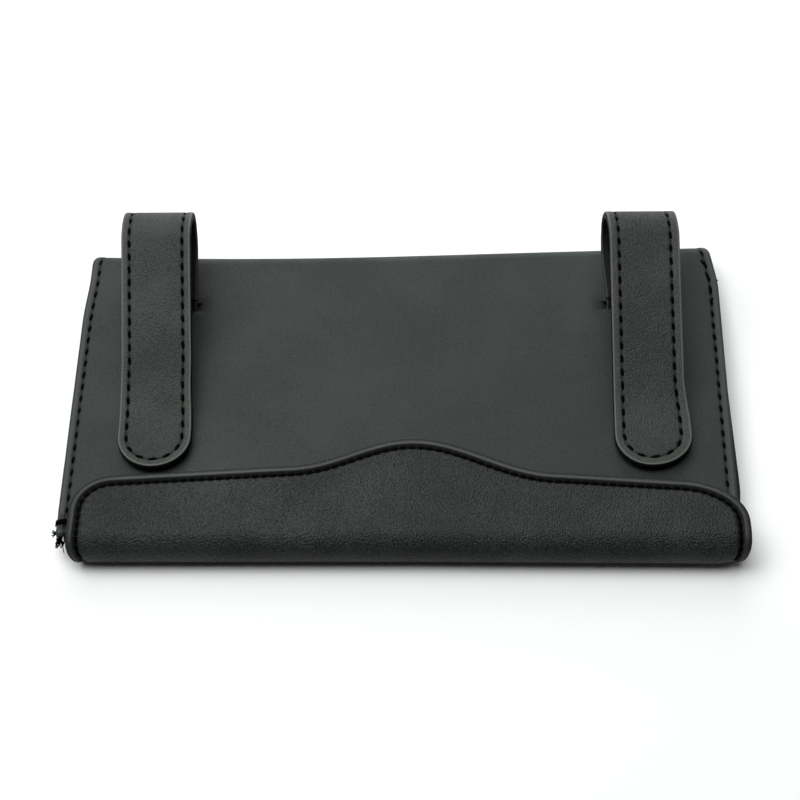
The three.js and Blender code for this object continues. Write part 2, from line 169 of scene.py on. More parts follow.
def ease(value, first, last):
    """0 before first, 1 after last, and 3t^2 - 2t^3 between them."""
    t = np.clip((value - first) / (last - first), 0, 1)
    return t * t * (3 - 2 * t)


def out_of_square(x, q, y):
    """How the real case differs from a rectangle: past the slits its far edge is pulled in on the
    left and reaches out on the right, its left side bulges near the mouth, and both far corners
    are drawn in."""
    u = (x - case_x) / half_width
    bow = -0.7 + 1.35 * u + 1.75 * u ** 2 + 0.5 * np.sin(np.pi * u)
    aside = 0.5 * np.minimum(u, 0) * (1 - 2 * ease(y, 32, 52))
    aside = aside - 2.2 * np.maximum(u, 0) * ease(y, 44, 63)
    return aside, bow * ease(y, 41, 58)


def roll_end(x, turns):
    """Shift at the roll, by quarter turns from its top. Its ends draw in by up to 3.4 mm on the way
    down, and its right half is up to a millimetre fuller."""
    u = (x - flap_x) / half_width
    fuller = np.maximum(u, 0) * (1 - ease(u, 0.92, 1)) * np.sin(np.pi * np.clip(turns / 2, 0, 1))
    return -3.4 * u * ease(turns, 0.35, 2.0), -fuller


def over_roll(x, q, y):
    """The flap, past its run."""
    return roll_end(x, (q - FLAP_RUN) / QUARTER)


def under_roll(x, q, y):
    """The front, from the middle of the roll. It widens again over 25 mm."""
    aside, along = out_of_square(x, q, y)
    narrow, fuller = roll_end(x, 1 + q / QUARTER)
    widened = ease(y, near_y, near_y + 25)
    return aside * widened + narrow * (1 - widened), along + fuller


HEM_RADIUS, HEM_RUN = 1.45, 9.0
FLAP_RUN, QUARTER = 40.0, roll_radius * np.pi / 2
back_walk = walk(far_y, 0, 0, [
    (far_radius, math.pi),
    (far_y - (back_low[1] + HEM_RADIUS), 0),
    (HEM_RADIUS, math.pi),
    (HEM_RUN, 0),
])
front_walk = walk(near_y - roll_radius, roll_radius, -math.pi / 2, [
    (roll_radius, math.pi / 2),
    (far_y - near_y, 0),
])
flap_walk = walk(near_y + FLAP_RUN, flap_top, math.pi, [
    (FLAP_RUN, 0),
    (roll_radius, math.pi / 2),
])
back_walk.settle, front_walk.settle, flap_walk.settle = out_of_square, under_roll, over_roll
print("back panel pattern length, mm:", round(back_walk.begin[-1], 1))

# %% [markdown]
# ## The strap's walk
#
# A strap is sewn in under the back panel, climbs through its slit, runs up at a slant, turns over
# in a loop and comes down with its round tip on the panel. It has the CAD's legs, and its front is
# the line that touches the circles of the loop and the landing, so the leather lies on the solids
# that it stands for, apart from the lean that the photo shows.

# %% Strap walk
BOARD_FLOOR, TAIL_DEPTH = 8.6, 0.05
PLY, PLY_GAP = 1.1, 0.2
TAIL, TAIL_BEND, SLIT_CLIMB = 14.0, 1.0, math.radians(45)
REAR, REAR_RISE, LOOP_RADIUS = 16.4, math.radians(17), 11.5
LANDING_RADIUS, LANDING_FLAT = 45.0, 10.4
SLIT_FROM_FAR_EDGE, TIP_RISE = 24.0, 4.2
tail_z = BOARD_FLOOR + TAIL_DEPTH
climb_radius = TAIL_BEND + PLY
emerging_z = panel_top + 0.3
climb_rise = climb_radius * (1 - math.cos(SLIT_CLIMB))
level_rise = TAIL_BEND * (math.cos(REAR_RISE) - math.cos(SLIT_CLIMB))
climb = (emerging_z - tail_z - climb_rise - level_rise) / math.sin(SLIT_CLIMB)
tip_y = box_mm("left_strap_outer")[0][1]
loop_y = (far_y + far_radius - SLIT_FROM_FAR_EDGE + REAR * math.cos(REAR_RISE)
          - LOOP_RADIUS * math.sin(REAR_RISE))
loop_z = emerging_z + REAR * math.sin(REAR_RISE) + LOOP_RADIUS * math.cos(REAR_RISE)
landing_y, landing_z = tip_y + LANDING_FLAT, panel_top + TIP_RISE + LANDING_RADIUS
centre_distance = math.hypot(landing_y - loop_y, landing_z - loop_z)
crossing = math.asin((LOOP_RADIUS + LANDING_RADIUS) / centre_distance)
front_fall = crossing - math.asin((landing_z - loop_z) / centre_distance)
strap_legs = [
    (TAIL, 0), (climb_radius, SLIT_CLIMB), (climb, 0), (TAIL_BEND, REAR_RISE - SLIT_CLIMB),
    (REAR, 0), (LOOP_RADIUS, math.pi + front_fall - REAR_RISE),
    (centre_distance * math.cos(crossing), 0), (LANDING_RADIUS, -front_fall), (LANDING_FLAT, 0),
]
strap_walk = walk(tip_y - walk(0, 0, 0, strap_legs).y[-1], tail_z, 0, strap_legs)
strap_length = strap_walk.begin[-1]
loop_start, loop_end = strap_walk.begin[5], strap_walk.begin[6]
loop_middle = (loop_start + loop_end) / 2


def skewed(side, stops, shifts, flare, back):
    """A copy of the strap's walk for one side. The strap leans by the shifts at the stops, the
    right side of its tip is cut wider by the flare, and its loop leans back."""
    def settle(x, q, y):
        right = np.clip((x - strap_x[side]) / strap_half, 0, 1)
        wider = flare * right * ease(q, strap_length - 34, strap_length - 14)
        high = np.sin(np.pi * np.clip((q - loop_start) / (loop_end - loop_start), 0, 1)) ** 2
        return np.interp(q, stops, shifts) + wider, back * high
    return SimpleNamespace(**{**vars(strap_walk), "settle": settle})


strap_walks = {
    "left": skewed("left", [20, 45, loop_end, loop_end + 45, strap_length],
                   [0, -0.6, -0.5, 1.4, 1.6], 0.8, 1.0),
    "right": skewed("right", [20, 36, 50, loop_end, strap_length], [0, -1.4, -1.4, 0.2, 0.3], 1.8, 0),
}
print("strap length, mm:", round(strap_length, 2), "tip:", place(strap_walk, 0, strap_length))

# %% [markdown]
# ## Sheets with two faces
#
# A leather part is a closed shell: an outer face, an inner face, and walls wherever the grid ends
# or has a hole. A Solidify modifier could thicken a single face, but the rim, the groove and the
# hem need a different thickness at each distance from the edge. So both faces are worked out from
# the same flat grid, each with its own depth.

# %% Shell from two grids
def shell(outer, inner, keep=None, joined=()):
    """Quads of a sheet between two grids of points, rows by columns. A cell with keep False is a
    hole. Sides named in joined go on into another grid and get no wall there."""
    rows, cols = outer.shape[:2]
    index = np.arange(rows * cols).reshape(rows, cols)
    keep = np.ones((rows - 1, cols - 1), bool) if keep is None else keep
    quads = np.stack([index[:-1, :-1], index[:-1, 1:], index[1:, 1:], index[1:, :-1]], -1)[keep]
    ring = np.pad(keep, 1)
    along = ring[:-1, 1:-1] != ring[1:, 1:-1]
    across = ring[1:-1, :-1] != ring[1:-1, 1:]
    for side, mask, at in (
        ("first_row", along, 0), ("last_row", along, -1),
        ("first_col", across.T, 0), ("last_col", across.T, -1),
    ):
        if side in joined:
            mask[at] = False
    edges = np.concatenate([
        np.stack([index[:, :-1], index[:, 1:]], -1)[along],
        np.stack([index[:-1, :], index[1:, :]], -1)[across],
    ])
    under = rows * cols
    walls = np.concatenate([edges, edges[:, ::-1] + under], 1)
    points = np.concatenate([outer.reshape(-1, 3), inner.reshape(-1, 3)])
    return points, np.concatenate([quads, quads[:, ::-1] + under, walls])


def bent(path, x, q, out, within, keep=None, joined=()):
    """A shell from a plan that is bent along a walk, between two depths."""
    return shell(place(path, x, q, out), place(path, x, q, within), keep, joined)


def level_shell(x, y, first_z, second_z, keep=None):
    """A shell from a plan that lies flat, between two heights."""
    return shell(np.stack(np.broadcast_arrays(x, y, first_z), -1),
                 np.stack(np.broadcast_arrays(x, y, second_z), -1), keep)


def build(name, parts, finish, slot, flesh=None, **fields):
    """A mesh object from shells or other (points, faces) pairs. Points that meet are merged, the
    faces turned outwards, and corners of more than 40 degrees kept sharp. A field is an attribute
    that the material reads: a number for each point, or a grid that both faces of a shell share.
    flesh is the material of a shell's inner face and its cut edges."""
    start = np.cumsum([0] + [len(points) for points, _ in parts])
    points = np.concatenate([points for points, _ in parts])
    faces = [face for (_, some), at in zip(parts, start) for face in
             (some + at if isinstance(some, np.ndarray) else [[i + at for i in f] for f in some])]
    mesh = bpy.data.meshes.new(name)
    mesh.from_pydata((points * MM).tolist(), [], [list(map(int, face)) for face in faces])
    for field, values in fields.items():
        layer = mesh.attributes.new(field, "FLOAT", "POINT")
        values = np.tile(values.ravel(), 2) if values.ndim == 2 else values
        layer.data.foreach_set("value", values.astype(np.float32))
    if flesh:
        inner = [(quads >= len(points) // 2).any(1) for points, quads in parts]
        mesh.polygons.foreach_set("material_index", np.concatenate(inner).astype(np.int32))
    work = bmesh.new()
    work.from_mesh(mesh)
    bmesh.ops.remove_doubles(work, verts=work.verts, dist=2e-6)
    bmesh.ops.recalc_face_normals(work, faces=work.faces)
    work.to_mesh(mesh)
    work.free()
    mesh.polygons.foreach_set("use_smooth", np.ones(len(mesh.polygons), bool))
    mesh.set_sharp_from_angle(angle=math.radians(40))
    for material in (finish, flesh) if flesh else (finish,):
        mesh.materials.append(material)
    made = bpy.data.objects.new(name, mesh)
    bpy.context.scene.collection.objects.link(made)
    return made


# %% [markdown]
# ## Colours and materials
#
# Colours are sRGB hex values, tried out until the picture's tones came near the photo's, so one
# function turns them to the linear values that a shader works in. A second small function adds a
# node with its settings and links. Everything else is written out where it is used.

# %% Colour and node helpers
def linear(hex_value):
    """sRGB hex to linear RGBA: c/12.92 near black, else ((c + 0.055)/1.055) to the power 2.4."""
    c = np.array([int(hex_value[i:i + 2], 16) for i in (1, 3, 5)]) / 255
    return (*np.where(c <= 0.04045, c / 12.92, ((c + 0.055) / 1.055) ** 2.4).tolist(), 1.0)


def node(tree, kind, links=None, **settings):
    """Adds a node. Settings are its attributes or, with a matching name, its input values."""
    made = tree.nodes.new(kind)
    for key, value in settings.items():
        if hasattr(made, key):
            setattr(made, key, value)
        else:
            made.inputs[key.replace("_", " ")].default_value = value
    for socket, source in (links or {}).items():
        tree.links.new(source, made.inputs[socket])
    return made


def start_material(name):
    """An empty node material with its Principled shader and its object coordinates."""
    made = bpy.data.materials.new(name)
    made.use_nodes = True
    tree = made.node_tree
    return made, tree, tree.nodes["Principled BSDF"], node(tree, "ShaderNodeTexCoord")


print("black leather in linear light:", [round(c, 4) for c in linear("#232928")[:3]])

# %% [markdown]
# ## Imitation leather
#
# PU leather is a cloth with a thin plastic skin, embossed by a roller. The back panel is nearly
# smooth, the flap and front have a fine pebble grain, the straps a shallower one, and their
# backing is plain and near black, partly its own colour and partly painted shade for the dark band
# under the strap tips. All four are one skin with a different emboss, so one function makes them:
# a Voronoi cell pattern for the pebbles, a fine noise for the pores, and a slow noise for cloudy
# wear. The mesh carries two fields: near a turned edge the skin is ironed smooth and a little
# lighter, with a painted highlight along the rim's crown and cut edge, and in a seam's groove and
# along the flap's very edge it is darkened with painted shade.

# %% Leather
def leather(name, dark, light, rim, pebble, relief, pore_relief, roughness, specular, ironing):
    """Embossed skin. pebble is the grain's width in millimetres, relief its depth. The valleys
    between the pebbles are rougher and darker than their tops."""
    made, tree, shader, where = start_material(name)
    spot = where.outputs["Object"]
    edge = node(tree, "ShaderNodeAttribute", attribute_name="edge")
    seam = node(tree, "ShaderNodeAttribute", attribute_name="seam")
    cloud = node(tree, "ShaderNodeTexNoise", {"Vector": spot}, Scale=1 / (22 * MM), Detail=3.0)
    cells = node(tree, "ShaderNodeTexVoronoi", {"Vector": spot}, feature="SMOOTH_F1",
                 Scale=1 / (pebble * MM), Smoothness=0.5)
    pores = node(tree, "ShaderNodeTexNoise", {"Vector": spot}, Scale=1 / (0.35 * MM), Detail=2.0)
    valley = node(tree, "ShaderNodeMath", {0: cells.outputs["Distance"], 1: cloud.outputs["Fac"]},
                  operation="MULTIPLY")
    tone = node(tree, "ShaderNodeMapRange", {"Value": valley.outputs[0]}, From_Min=0.05, From_Max=0.35)
    colour = node(tree, "ShaderNodeMix", {"Factor": tone.outputs[0]}, data_type="RGBA")
    colour.inputs[6].default_value, colour.inputs[7].default_value = linear(light), linear(dark)
    # edge mixes in the rim tint: a lighter rim with a painted highlight. seam mixes in near black: painted
    # shade in the grooves and at the flap's very edge.
    for share, tint in ((edge, rim), (seam, "#020303")):
        colour = node(tree, "ShaderNodeMix", {"Factor": share.outputs["Fac"], 6: colour.outputs[2]},
                      data_type="RGBA")
        colour.inputs[7].default_value = linear(tint)
    tree.links.new(colour.outputs[2], shader.inputs["Base Color"])
    gloss = node(tree, "ShaderNodeMapRange", {"Value": tone.outputs[0]},
                 To_Min=roughness - 0.06, To_Max=roughness + 0.12)
    matt = node(tree, "ShaderNodeMath", {0: seam.outputs["Fac"], 2: gloss.outputs[0]},
                operation="MULTIPLY_ADD")
    matt.inputs[1].default_value = 0.4
    tree.links.new(matt.outputs[0], shader.inputs["Roughness"])
    fine = node(tree, "ShaderNodeBump", {"Height": pores.outputs["Fac"]},
                Strength=0.5, Distance=pore_relief * MM)
    ironed = node(tree, "ShaderNodeMapRange", {"Value": edge.outputs["Fac"]},
                  From_Max=0.2, To_Min=0.9, To_Max=ironing)
    grain = node(tree, "ShaderNodeBump",
                 {"Height": cells.outputs["Distance"], "Normal": fine.outputs["Normal"],
                  "Strength": ironed.outputs[0]}, Distance=relief * MM, invert=True)
    tree.links.new(grain.outputs["Normal"], shader.inputs["Normal"])
    shader.inputs["IOR"].default_value = 1.48
    shader.inputs["Specular IOR Level"].default_value = specular
    return made


# The fourth colour of each leather is its rim tint: a lighter rim with a painted highlight on its crown
# and cut edge.
smooth_leather = leather(
    "embossed_PU_leather_smooth", "#1d2322", "#232928", "#4d4e4a", 0.6, 0.06, 0.02, 0.5, 0.25, 0.3)
grained_leather = leather(
    "embossed_PU_leather_pebbled", "#0a0e0c", "#222725", "#5a5c56", 0.55, 0.36, 0.05, 0.44, 0.27, 0.1)
strap_leather = leather(
    "embossed_PU_leather_soft", "#1c201d", "#2f3330", "#6f706a", 0.6, 0.2, 0.05, 0.48, 0.25, 0.4)
# The backing's near black is partly its own dark colour and partly painted shade for the dark band under
# the strap tips.
backing_leather = leather(
    "embossed_PU_leather_backing", "#050606", "#080909", "#5c5d57", 0.7, 0.12, 0.04, 0.6, 0.1, 1.0)
print("leathers made")

# %% [markdown]
# ## Thread, cloth, tape, board and magnets
#
# The thread is blacker than the leather, as in the photo. The rest can't be seen there and has the
# usual materials. The lining is a plain woven cloth: two waves at right angles, one turn for each
# thread. Hook tape is a field of tiny nylon hooks and loop tape a brushed pile, both too fine to
# model, so a coarse bump stands for them. The boards are black card and the magnets steel.

# %% Other materials
def plain(name, colour, roughness, bump_width, bump_relief, metallic=0.0, feature="noise",
          specular=0.5):
    """A finish of one tone with a fine relief of a given width and depth in millimetres."""
    made, tree, shader, where = start_material(name)
    kind = {"noise": "ShaderNodeTexNoise", "cells": "ShaderNodeTexVoronoi"}[feature]
    relief = node(tree, kind, {"Vector": where.outputs["Object"]}, Scale=1 / (bump_width * MM))
    low = node(tree, "ShaderNodeMix", {"Factor": relief.outputs[0]}, data_type="RGBA")
    low.inputs[6].default_value = tuple(0.7 * c for c in linear(colour)[:3]) + (1.0,)
    low.inputs[7].default_value = linear(colour)
    tree.links.new(low.outputs[2], shader.inputs["Base Color"])
    bump = node(tree, "ShaderNodeBump", {"Height": relief.outputs[0]},
                Strength=0.8, Distance=bump_relief * MM)
    tree.links.new(bump.outputs["Normal"], shader.inputs["Normal"])
    for socket, value in (
        ("Roughness", roughness), ("Metallic", metallic), ("Specular IOR Level", specular),
    ):
        shader.inputs[socket].default_value = value
    return made


def woven(name, warp, weft, thread):
    """Plain weave: sine waves of one thread's width along X and along Y, multiplied."""
    made, tree, shader, where = start_material(name)
    spot = where.outputs["Object"]
    waves = []
    for direction in "XY":
        wave = node(tree, "ShaderNodeTexWave", {"Vector": spot}, bands_direction=direction,
                    wave_profile="SIN", Scale=math.pi / 10 / (thread * MM), Distortion=0.4)
        waves.append(wave.outputs["Fac"])
    cross = node(tree, "ShaderNodeMath", {0: waves[0], 1: waves[1]}, operation="MULTIPLY")
    tone = node(tree, "ShaderNodeMix", {"Factor": cross.outputs[0]}, data_type="RGBA")
    tone.inputs[6].default_value, tone.inputs[7].default_value = linear(warp), linear(weft)
    tree.links.new(tone.outputs[2], shader.inputs["Base Color"])
    bump = node(tree, "ShaderNodeBump", {"Height": cross.outputs[0]},
                Strength=0.6, Distance=0.05 * MM)
    tree.links.new(bump.outputs["Normal"], shader.inputs["Normal"])
    shader.inputs["Roughness"].default_value = 0.8
    return made


thread_finish = plain("bonded_polyester_thread", "#020202", 0.7, 0.25, 0.03, specular=0.02)
lining_finish = woven("woven_polyester_lining", "#141515", "#2b2c2c", 0.5)
hook_finish = plain("nylon_hook_tape", "#191919", 0.6, 0.7, 0.35, feature="cells")
loop_finish = plain("brushed_nylon_loop_tape", "#161616", 0.95, 0.5, 0.3)
board_finish = plain("recycled_black_card", "#1b1a19", 0.9, 1.2, 0.05)
magnet_finish = plain("nickel_plated_steel", "#b9bbbd", 0.25, 3.0, 0.01, metallic=1.0)
print("materials made:", len(bpy.data.materials))

# %% [markdown]
# ## The rim and the stitch groove
#
# A turned edge has a section that the eye knows at once: it rounds over, swells into a rim, dips
# where the thread pulls it down, and swells again. That is a sum of simple terms of the distance
# from the edge, and a pucker along the seam deepens and widens the dip at every stitch. A last,
# very slow term keeps a panel from looking machined flat.

# %% Depth below the outer face
def rim_depth(d, radius, drop, seam_at, bead):
    """Quarter ellipse over the edge, minus a bead between the edge and the seam."""
    over = np.clip(1 - d / radius, 0, 1)
    swell = bead * np.exp(-((d - seam_at * 0.45) / (seam_at * 0.4)) ** 2)
    return drop * (1 - np.sqrt(1 - over ** 2)) - swell


def pucker(s, pitch, share):
    """A factor for the groove. Stitches have their middles at half a pitch, one and a half and so
    on: there it is 1, and between two stitches 1 - share."""
    return 1 - share * (0.5 + 0.5 * np.cos(2 * np.pi * s / pitch))


def groove(d, s, at, width, pitch, share=0.5):
    """A bell across the groove, times the pucker. On the inner side its width puckers too, so the
    skin bulges towards the seam between two stitches and the groove's inner side is scalloped."""
    reach = width * np.where(d > at, 1.25 * pucker(s, pitch, 0.7 * share), 1)
    return np.exp(-((d - at) / reach) ** 2) * pucker(s, pitch, share)


def travelled(x, q):
    """Distance along a plan line up to each of its points."""
    return np.concatenate([[0], np.cumsum(np.hypot(np.diff(x), np.diff(q)))])


def uneven(x, y, height, seed):
    """Sum of six slow waves with seeded directions, 25 to 70 mm long."""
    draw = np.random.default_rng(seed)
    total = np.zeros(np.broadcast(x, y).shape)
    for length, angle, shift in zip(draw.uniform(25, 70, 6), draw.uniform(0, np.pi, 6),
                                    draw.uniform(0, 2 * np.pi, 6)):
        total = total + np.sin((x * np.cos(angle) + y * np.sin(angle)) * 2 * np.pi / length + shift)
    return height * total / 6


def lighter_rim_and_highlight(d, seam_at, ironed=0.15, line=0.3):
    """Edge field: a low level, a little lighter, on the ironed rim out to the seam, and a painted
    highlight along its crown, a third of the way in."""
    return ironed / (1 + np.exp((d - seam_at + 0.4) / 0.15)) + line * np.exp(-((d - 1.1) / 0.5) ** 2)


RIM_STEPS = np.array([0, .1, .25, .45, .7, 1, 1.35, 1.7, 2.05, 2.35, 2.6, 2.8, 3, 3.2, 3.45, 3.75,
                      4.1, 4.6, 5.2, 6])
print("depth at 0, 1.5, 3 and 6 mm:", rim_depth(np.array([0, 1.5, 3, 6]), 0.6, 0.4, 3, 0.05))

# %% [markdown]
# ## Stitches
#
# There are about 450 stitches, so each is a small spindle of 48 faces, and all of a seam share one
# mesh. A curve with a bevel would have no gaps between its stitches, and instancing would leave a
# modifier on every seam. Here every stitch is one spindle stretched between its two holes.

# %% Spindles along a seam
STITCH_HEIGHT, STITCH_SINK = 0.42, 0.3


def spindles(head, tail, up, width, height, sink):
    """One spindle from each head to each tail. Its radius is the fourth root of 1 - t^4, and its
    middle stands proud of its ends by sink."""
    t = np.array([-0.8, -0.45, 0, 0.45, 0.8])
    turn = np.arange(8) / 8 * 2 * np.pi
    radius = (1 - t ** 4) ** 0.25
    ring = np.stack(np.broadcast_arrays(
        t[:, None], radius[:, None] * np.cos(turn), radius[:, None] * np.sin(turn)), -1)
    base = np.concatenate([[[-1, 0, 0]], ring.reshape(-1, 3), [[1, 0, 0]]])
    k = np.arange(40).reshape(5, 8)
    k_next = np.roll(k, -1, 1)
    quads = np.stack([k[:-1], k_next[:-1], k_next[1:], k[1:]], -1).reshape(-1, 4) + 1
    caps = np.concatenate([np.stack([0 * k[0], k_next[0] + 1, k[0] + 1], -1),
                           np.stack([0 * k[0] + 41, k[-1] + 1, k_next[-1] + 1], -1)])
    along = (tail - head) / 2
    side = np.cross(up, along)
    side /= np.linalg.norm(side, axis=1, keepdims=True)
    a, b, c = base.T[:, None, :, None]
    lift = c * height / 2 - sink * a ** 2
    points = ((head + tail) / 2)[:, None] + a * along[:, None] + b * width / 2 * side[:, None]
    points = (points + lift * up[:, None]).reshape(-1, 3)
    first = (np.arange(len(head)) * len(base))[:, None, None]
    return points, [*(quads + first).reshape(-1, 4).tolist(), *(caps + first).reshape(-1, 3).tolist()]


def sew(path, x, q, pitch, length, depth, width=0.55, slant=0.0):
    """Spindles at an even pitch along a plan line that is bent along a walk. The slant moves a
    stitch's two ends apart, across the seam."""
    walked = travelled(x, q)
    middle = np.arange(pitch / 2, walked[-1], pitch)
    (head_x, head_q), (tail_x, tail_q) = (
        (np.interp(middle + end, walked, x), np.interp(middle + end, walked, q))
        for end in (-length / 2, length / 2))
    run = np.stack([tail_x - head_x, tail_q - head_q], -1)
    run /= np.linalg.norm(run, axis=1, keepdims=True)
    skew_x, skew_q = slant * run[:, 1], slant * run[:, 0]
    head = place(path, head_x - skew_x, head_q + skew_q, depth)
    tail = place(path, tail_x + skew_x, tail_q - skew_q, depth)
    middle_at = (head_x + tail_x) / 2, (head_q + tail_q) / 2
    up = place(path, *middle_at, 0) - place(path, *middle_at, 1)
    return spindles(head, tail, up, width, STITCH_HEIGHT, STITCH_SINK)


print("faces in a stitch:", 32 + 16)

# %% [markdown]
# ## Back panel
#
# The back panel and the far fold are one piece of leather on the real wallet, with no seam
# between them, so one shell stands for both CAD nodes. It starts at the seam underneath, wraps
# the far edge, runs to the mouth and is turned in as a hem. Its two far corners are rounded in
# plan. The slits for the straps are cells left out of the grid.

# %% Back panel leather
SEAM_INSET, SEAM_PITCH = 2.9, 5.05
FAR_ACROSS, FAR_ALONG = 4.5, 7.0
SLIT_HALF = strap_half + 0.5
slit_near, slit_far = 36.22, 39.81


def back_half(y):
    """Half width of the back at y: straight, then a quarter ellipse at the far corners."""
    past = np.clip((y - far_y - far_radius) / FAR_ALONG + 1, 0, 1)
    return half_width - FAR_ACROSS + FAR_ACROSS * np.sqrt(1 - past ** 2)


fold_end, panel_end, hem_end = back_walk.begin[1:4]
slit_rows = fold_end + far_y - np.array([slit_far, slit_near])
rows = np.unique(np.round(np.concatenate([
    np.linspace(0, fold_end, 37), np.linspace(fold_end, panel_end, 176), slit_rows,
    np.linspace(panel_end, hem_end, 13), np.linspace(hem_end, back_walk.begin[-1], 5)]), 6))
slit_x = {"left": (strap_x["left"] - SLIT_HALF, strap_x["left"] + SLIT_HALF + 1),
          "right": (strap_x["right"] - SLIT_HALF - 1, strap_x["right"] + SLIT_HALF)}
reach_in = half_width - FAR_ACROSS - RIM_STEPS[-1] - 0.5
middle_cols = np.unique(np.round(np.concatenate([
    np.linspace(case_x - reach_in, case_x + reach_in, 76), *slit_x.values()]), 6))
row_y = place(back_walk, 0, rows)[:, 1]
half = back_half(row_y)[:, None]
middle_x = np.broadcast_to(middle_cols, (len(rows), len(middle_cols)))
across = np.concatenate([case_x - half + RIM_STEPS, middle_x, (case_x + half - RIM_STEPS)[:, ::-1]], 1)
along = np.broadcast_to(rows[:, None], across.shape)
inset = half - np.abs(across - case_x)
sewn = np.broadcast_to(travelled(half[:, 0], rows)[:, None], across.shape)
forward = np.broadcast_to(row_y[:, None], across.shape)
on_top = np.clip((along - fold_end) / 6, 0, 1) * np.clip((panel_end - along) / 6, 0, 1)
on_rim_end = ease(along, panel_end - 7.5, panel_end - 6) * (1 - ease(along, panel_end - 1, panel_end + 1))
stitched = groove(inset, sewn, SEAM_INSET, 0.45, SEAM_PITCH)
outer_depth = rim_depth(inset, 0.7, 0.45, SEAM_INSET, 0.14) + 0.36 * stitched
outer_depth = outer_depth + on_top * uneven(across, forward, 0.16, 3)
for x0, x1 in slit_x.values():
    gap = np.hypot(np.clip(np.maximum(x0 - across, across - x1), 0, None),
                   np.clip(np.maximum(slit_near - forward, forward - slit_far), 0, None))
    outer_depth = outer_depth + on_top * 0.5 * np.exp(-(gap / 1.3) ** 2)
gathered = (across < case_x) * ease(inset, 3.6, 2.6) * on_rim_end
outer_depth = outer_depth + gathered * (0.3 + 0.25 * np.sin(2 * np.pi * inset / 1.1))
inner_depth = 1.0 + 0.1 * on_top - 0.15 * np.exp(-(inset / 0.4) ** 2)
centre_x = (across[:-1, :-1] + across[1:, 1:]) / 2
centre_q = (along[:-1, :-1] + along[1:, 1:]) / 2
keep = np.ones(centre_x.shape, bool)
for x0, x1 in slit_x.values():
    keep &= ~((centre_x > x0) & (centre_x < x1) & (centre_q > slit_rows[0]) & (centre_q < slit_rows[1]))
back_shell = bent(back_walk, across, along, outer_depth, inner_depth, keep)
# Its edge field is a lighter rim with a painted highlight on its crown, and its seam field is painted
# shade in the stitch groove.
back_panel = build("back_panel_leather", [back_shell], smooth_leather, "smooth_leather",
                   edge=lighter_rim_and_highlight(inset, SEAM_INSET), seam=stitched)
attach(back_panel, "case")
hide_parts("back_cover", "far_fold")
print("back panel faces:", len(back_panel.data.polygons))

# %% [markdown]
# ## The flap's rim
#
# The flap's edge is turned under and sewn, so its rim is a thick bead with a deep groove behind
# it. The same rim runs on round the roll's lower half, which belongs to the front, so it is set
# out once for both: the depth of the skin, the hem inside, the painted shade in the groove and
# along the very edge, and the painted highlight on the rim's crown.

# %% Flap rim
FLAP_SEAM, FLAP_PITCH = 3.7, 3.0
HEM_THICKNESS = 2.75


def flap_groove(d, s):
    """How deep the skin is pulled down: a slope from the rim's crown to the seam, and a steep,
    puckered wall beyond it."""
    wall = np.exp(-((d - FLAP_SEAM) / (0.75 * pucker(s, FLAP_PITCH, 0.3))) ** 2)
    return np.where(d > FLAP_SEAM, wall, ease(d, 2.0, FLAP_SEAM - 0.5)) * pucker(s, FLAP_PITCH, 0.2)


def flap_shade(d, s):
    """Painted shade: black in the groove and on the rim's slope down to it, and a painted shadow line
    at the very edge.
    """
    return np.clip(flap_groove(d, s) ** 0.7 + 0.85 * np.exp(-(d / 1.1) ** 2), 0, 1)


def flap_rim_highlight(d, s):
    """A lighter rim with a painted highlight along its crown, weaker towards the ends of the roll;
    the lightening fades out on the slope to the groove.
    """
    crown_highlight = 0.08 + 0.3 * ease(s, 12, 40)
    return 0.1 + crown_highlight * np.exp(-((d - 1.9) / 0.45) ** 2) - 0.1 * ease(d, 2.4, FLAP_SEAM)


def flap_out(d, s):
    """The rim over its hem, and the groove."""
    return rim_depth(d, 1.0, 1.2, FLAP_SEAM, 0.1) + 1.25 * flap_groove(d, s)


def flap_in(d, s):
    """The turned hem is 2.75 mm thick under the rim, and the leather 1 mm inside it."""
    return np.where(d < 4.7, HEM_THICKNESS - 0.5 * np.exp(-(d / 0.5) ** 2), 1.1)


print("flap groove, mm:", np.round(1.25 * flap_groove(np.array([2.0, 3.0, 3.7, 4.5]), 1.5), 2))

# %% [markdown]
# ## Front with its tissue slot
#
# The front lies on the table, and the photo doesn't show it. It runs from the far seam to the near
# edge and on round the roll's lower half. The slot is a hole with round ends. The grid opens for
# it: its rows part at the middle and follow the slot's edge, and where the slot ends they meet
# again.

# %% Front leather
SLOT_HALF_LENGTH, SLOT_HALF_WIDTH, SLOT_SEAM = 60.0, 13.0, 2.6
ROLL_ROWS = 46
slot_flat = SLOT_HALF_LENGTH - SLOT_HALF_WIDTH


def slotted_plan(columns, y_first, y_last, row_gap):
    """Rows and columns of a panel round the slot. Rows in the first half run from y_first to the
    slot's edge -w(x), rows in the second from w(x) to y_last, where w is the slot's half width."""
    past = np.clip(np.abs(columns - case_x) - slot_flat, 0, SLOT_HALF_WIDTH)
    w = np.where(np.abs(columns - case_x) < SLOT_HALF_LENGTH,
                 np.sqrt(SLOT_HALF_WIDTH ** 2 - past ** 2), 0)
    halves = []
    for end, sign in ((y_first, -1), (y_last, 1)):
        rings = w + RIM_STEPS[:, None]
        count = int((abs(end) - SLOT_HALF_WIDTH) / row_gap)
        v = np.linspace(0, 1, count)[1:, None]
        rest = rings[-1] + (abs(end) - rings[-1]) * v
        halves.append(sign * np.concatenate([rings, rest]))
    y = np.concatenate([halves[0][::-1], halves[1]])
    keep = np.ones((len(y) - 1, len(columns) - 1), bool)
    keep[len(halves[0]) - 1] = False
    return np.broadcast_to(columns, y.shape), y, keep


def slot_gap(x, y):
    """Distance from the slot's edge: to a line with round ends, less the half width."""
    return np.hypot(np.clip(np.abs(x - case_x) - slot_flat, 0, None), y) - SLOT_HALF_WIDTH


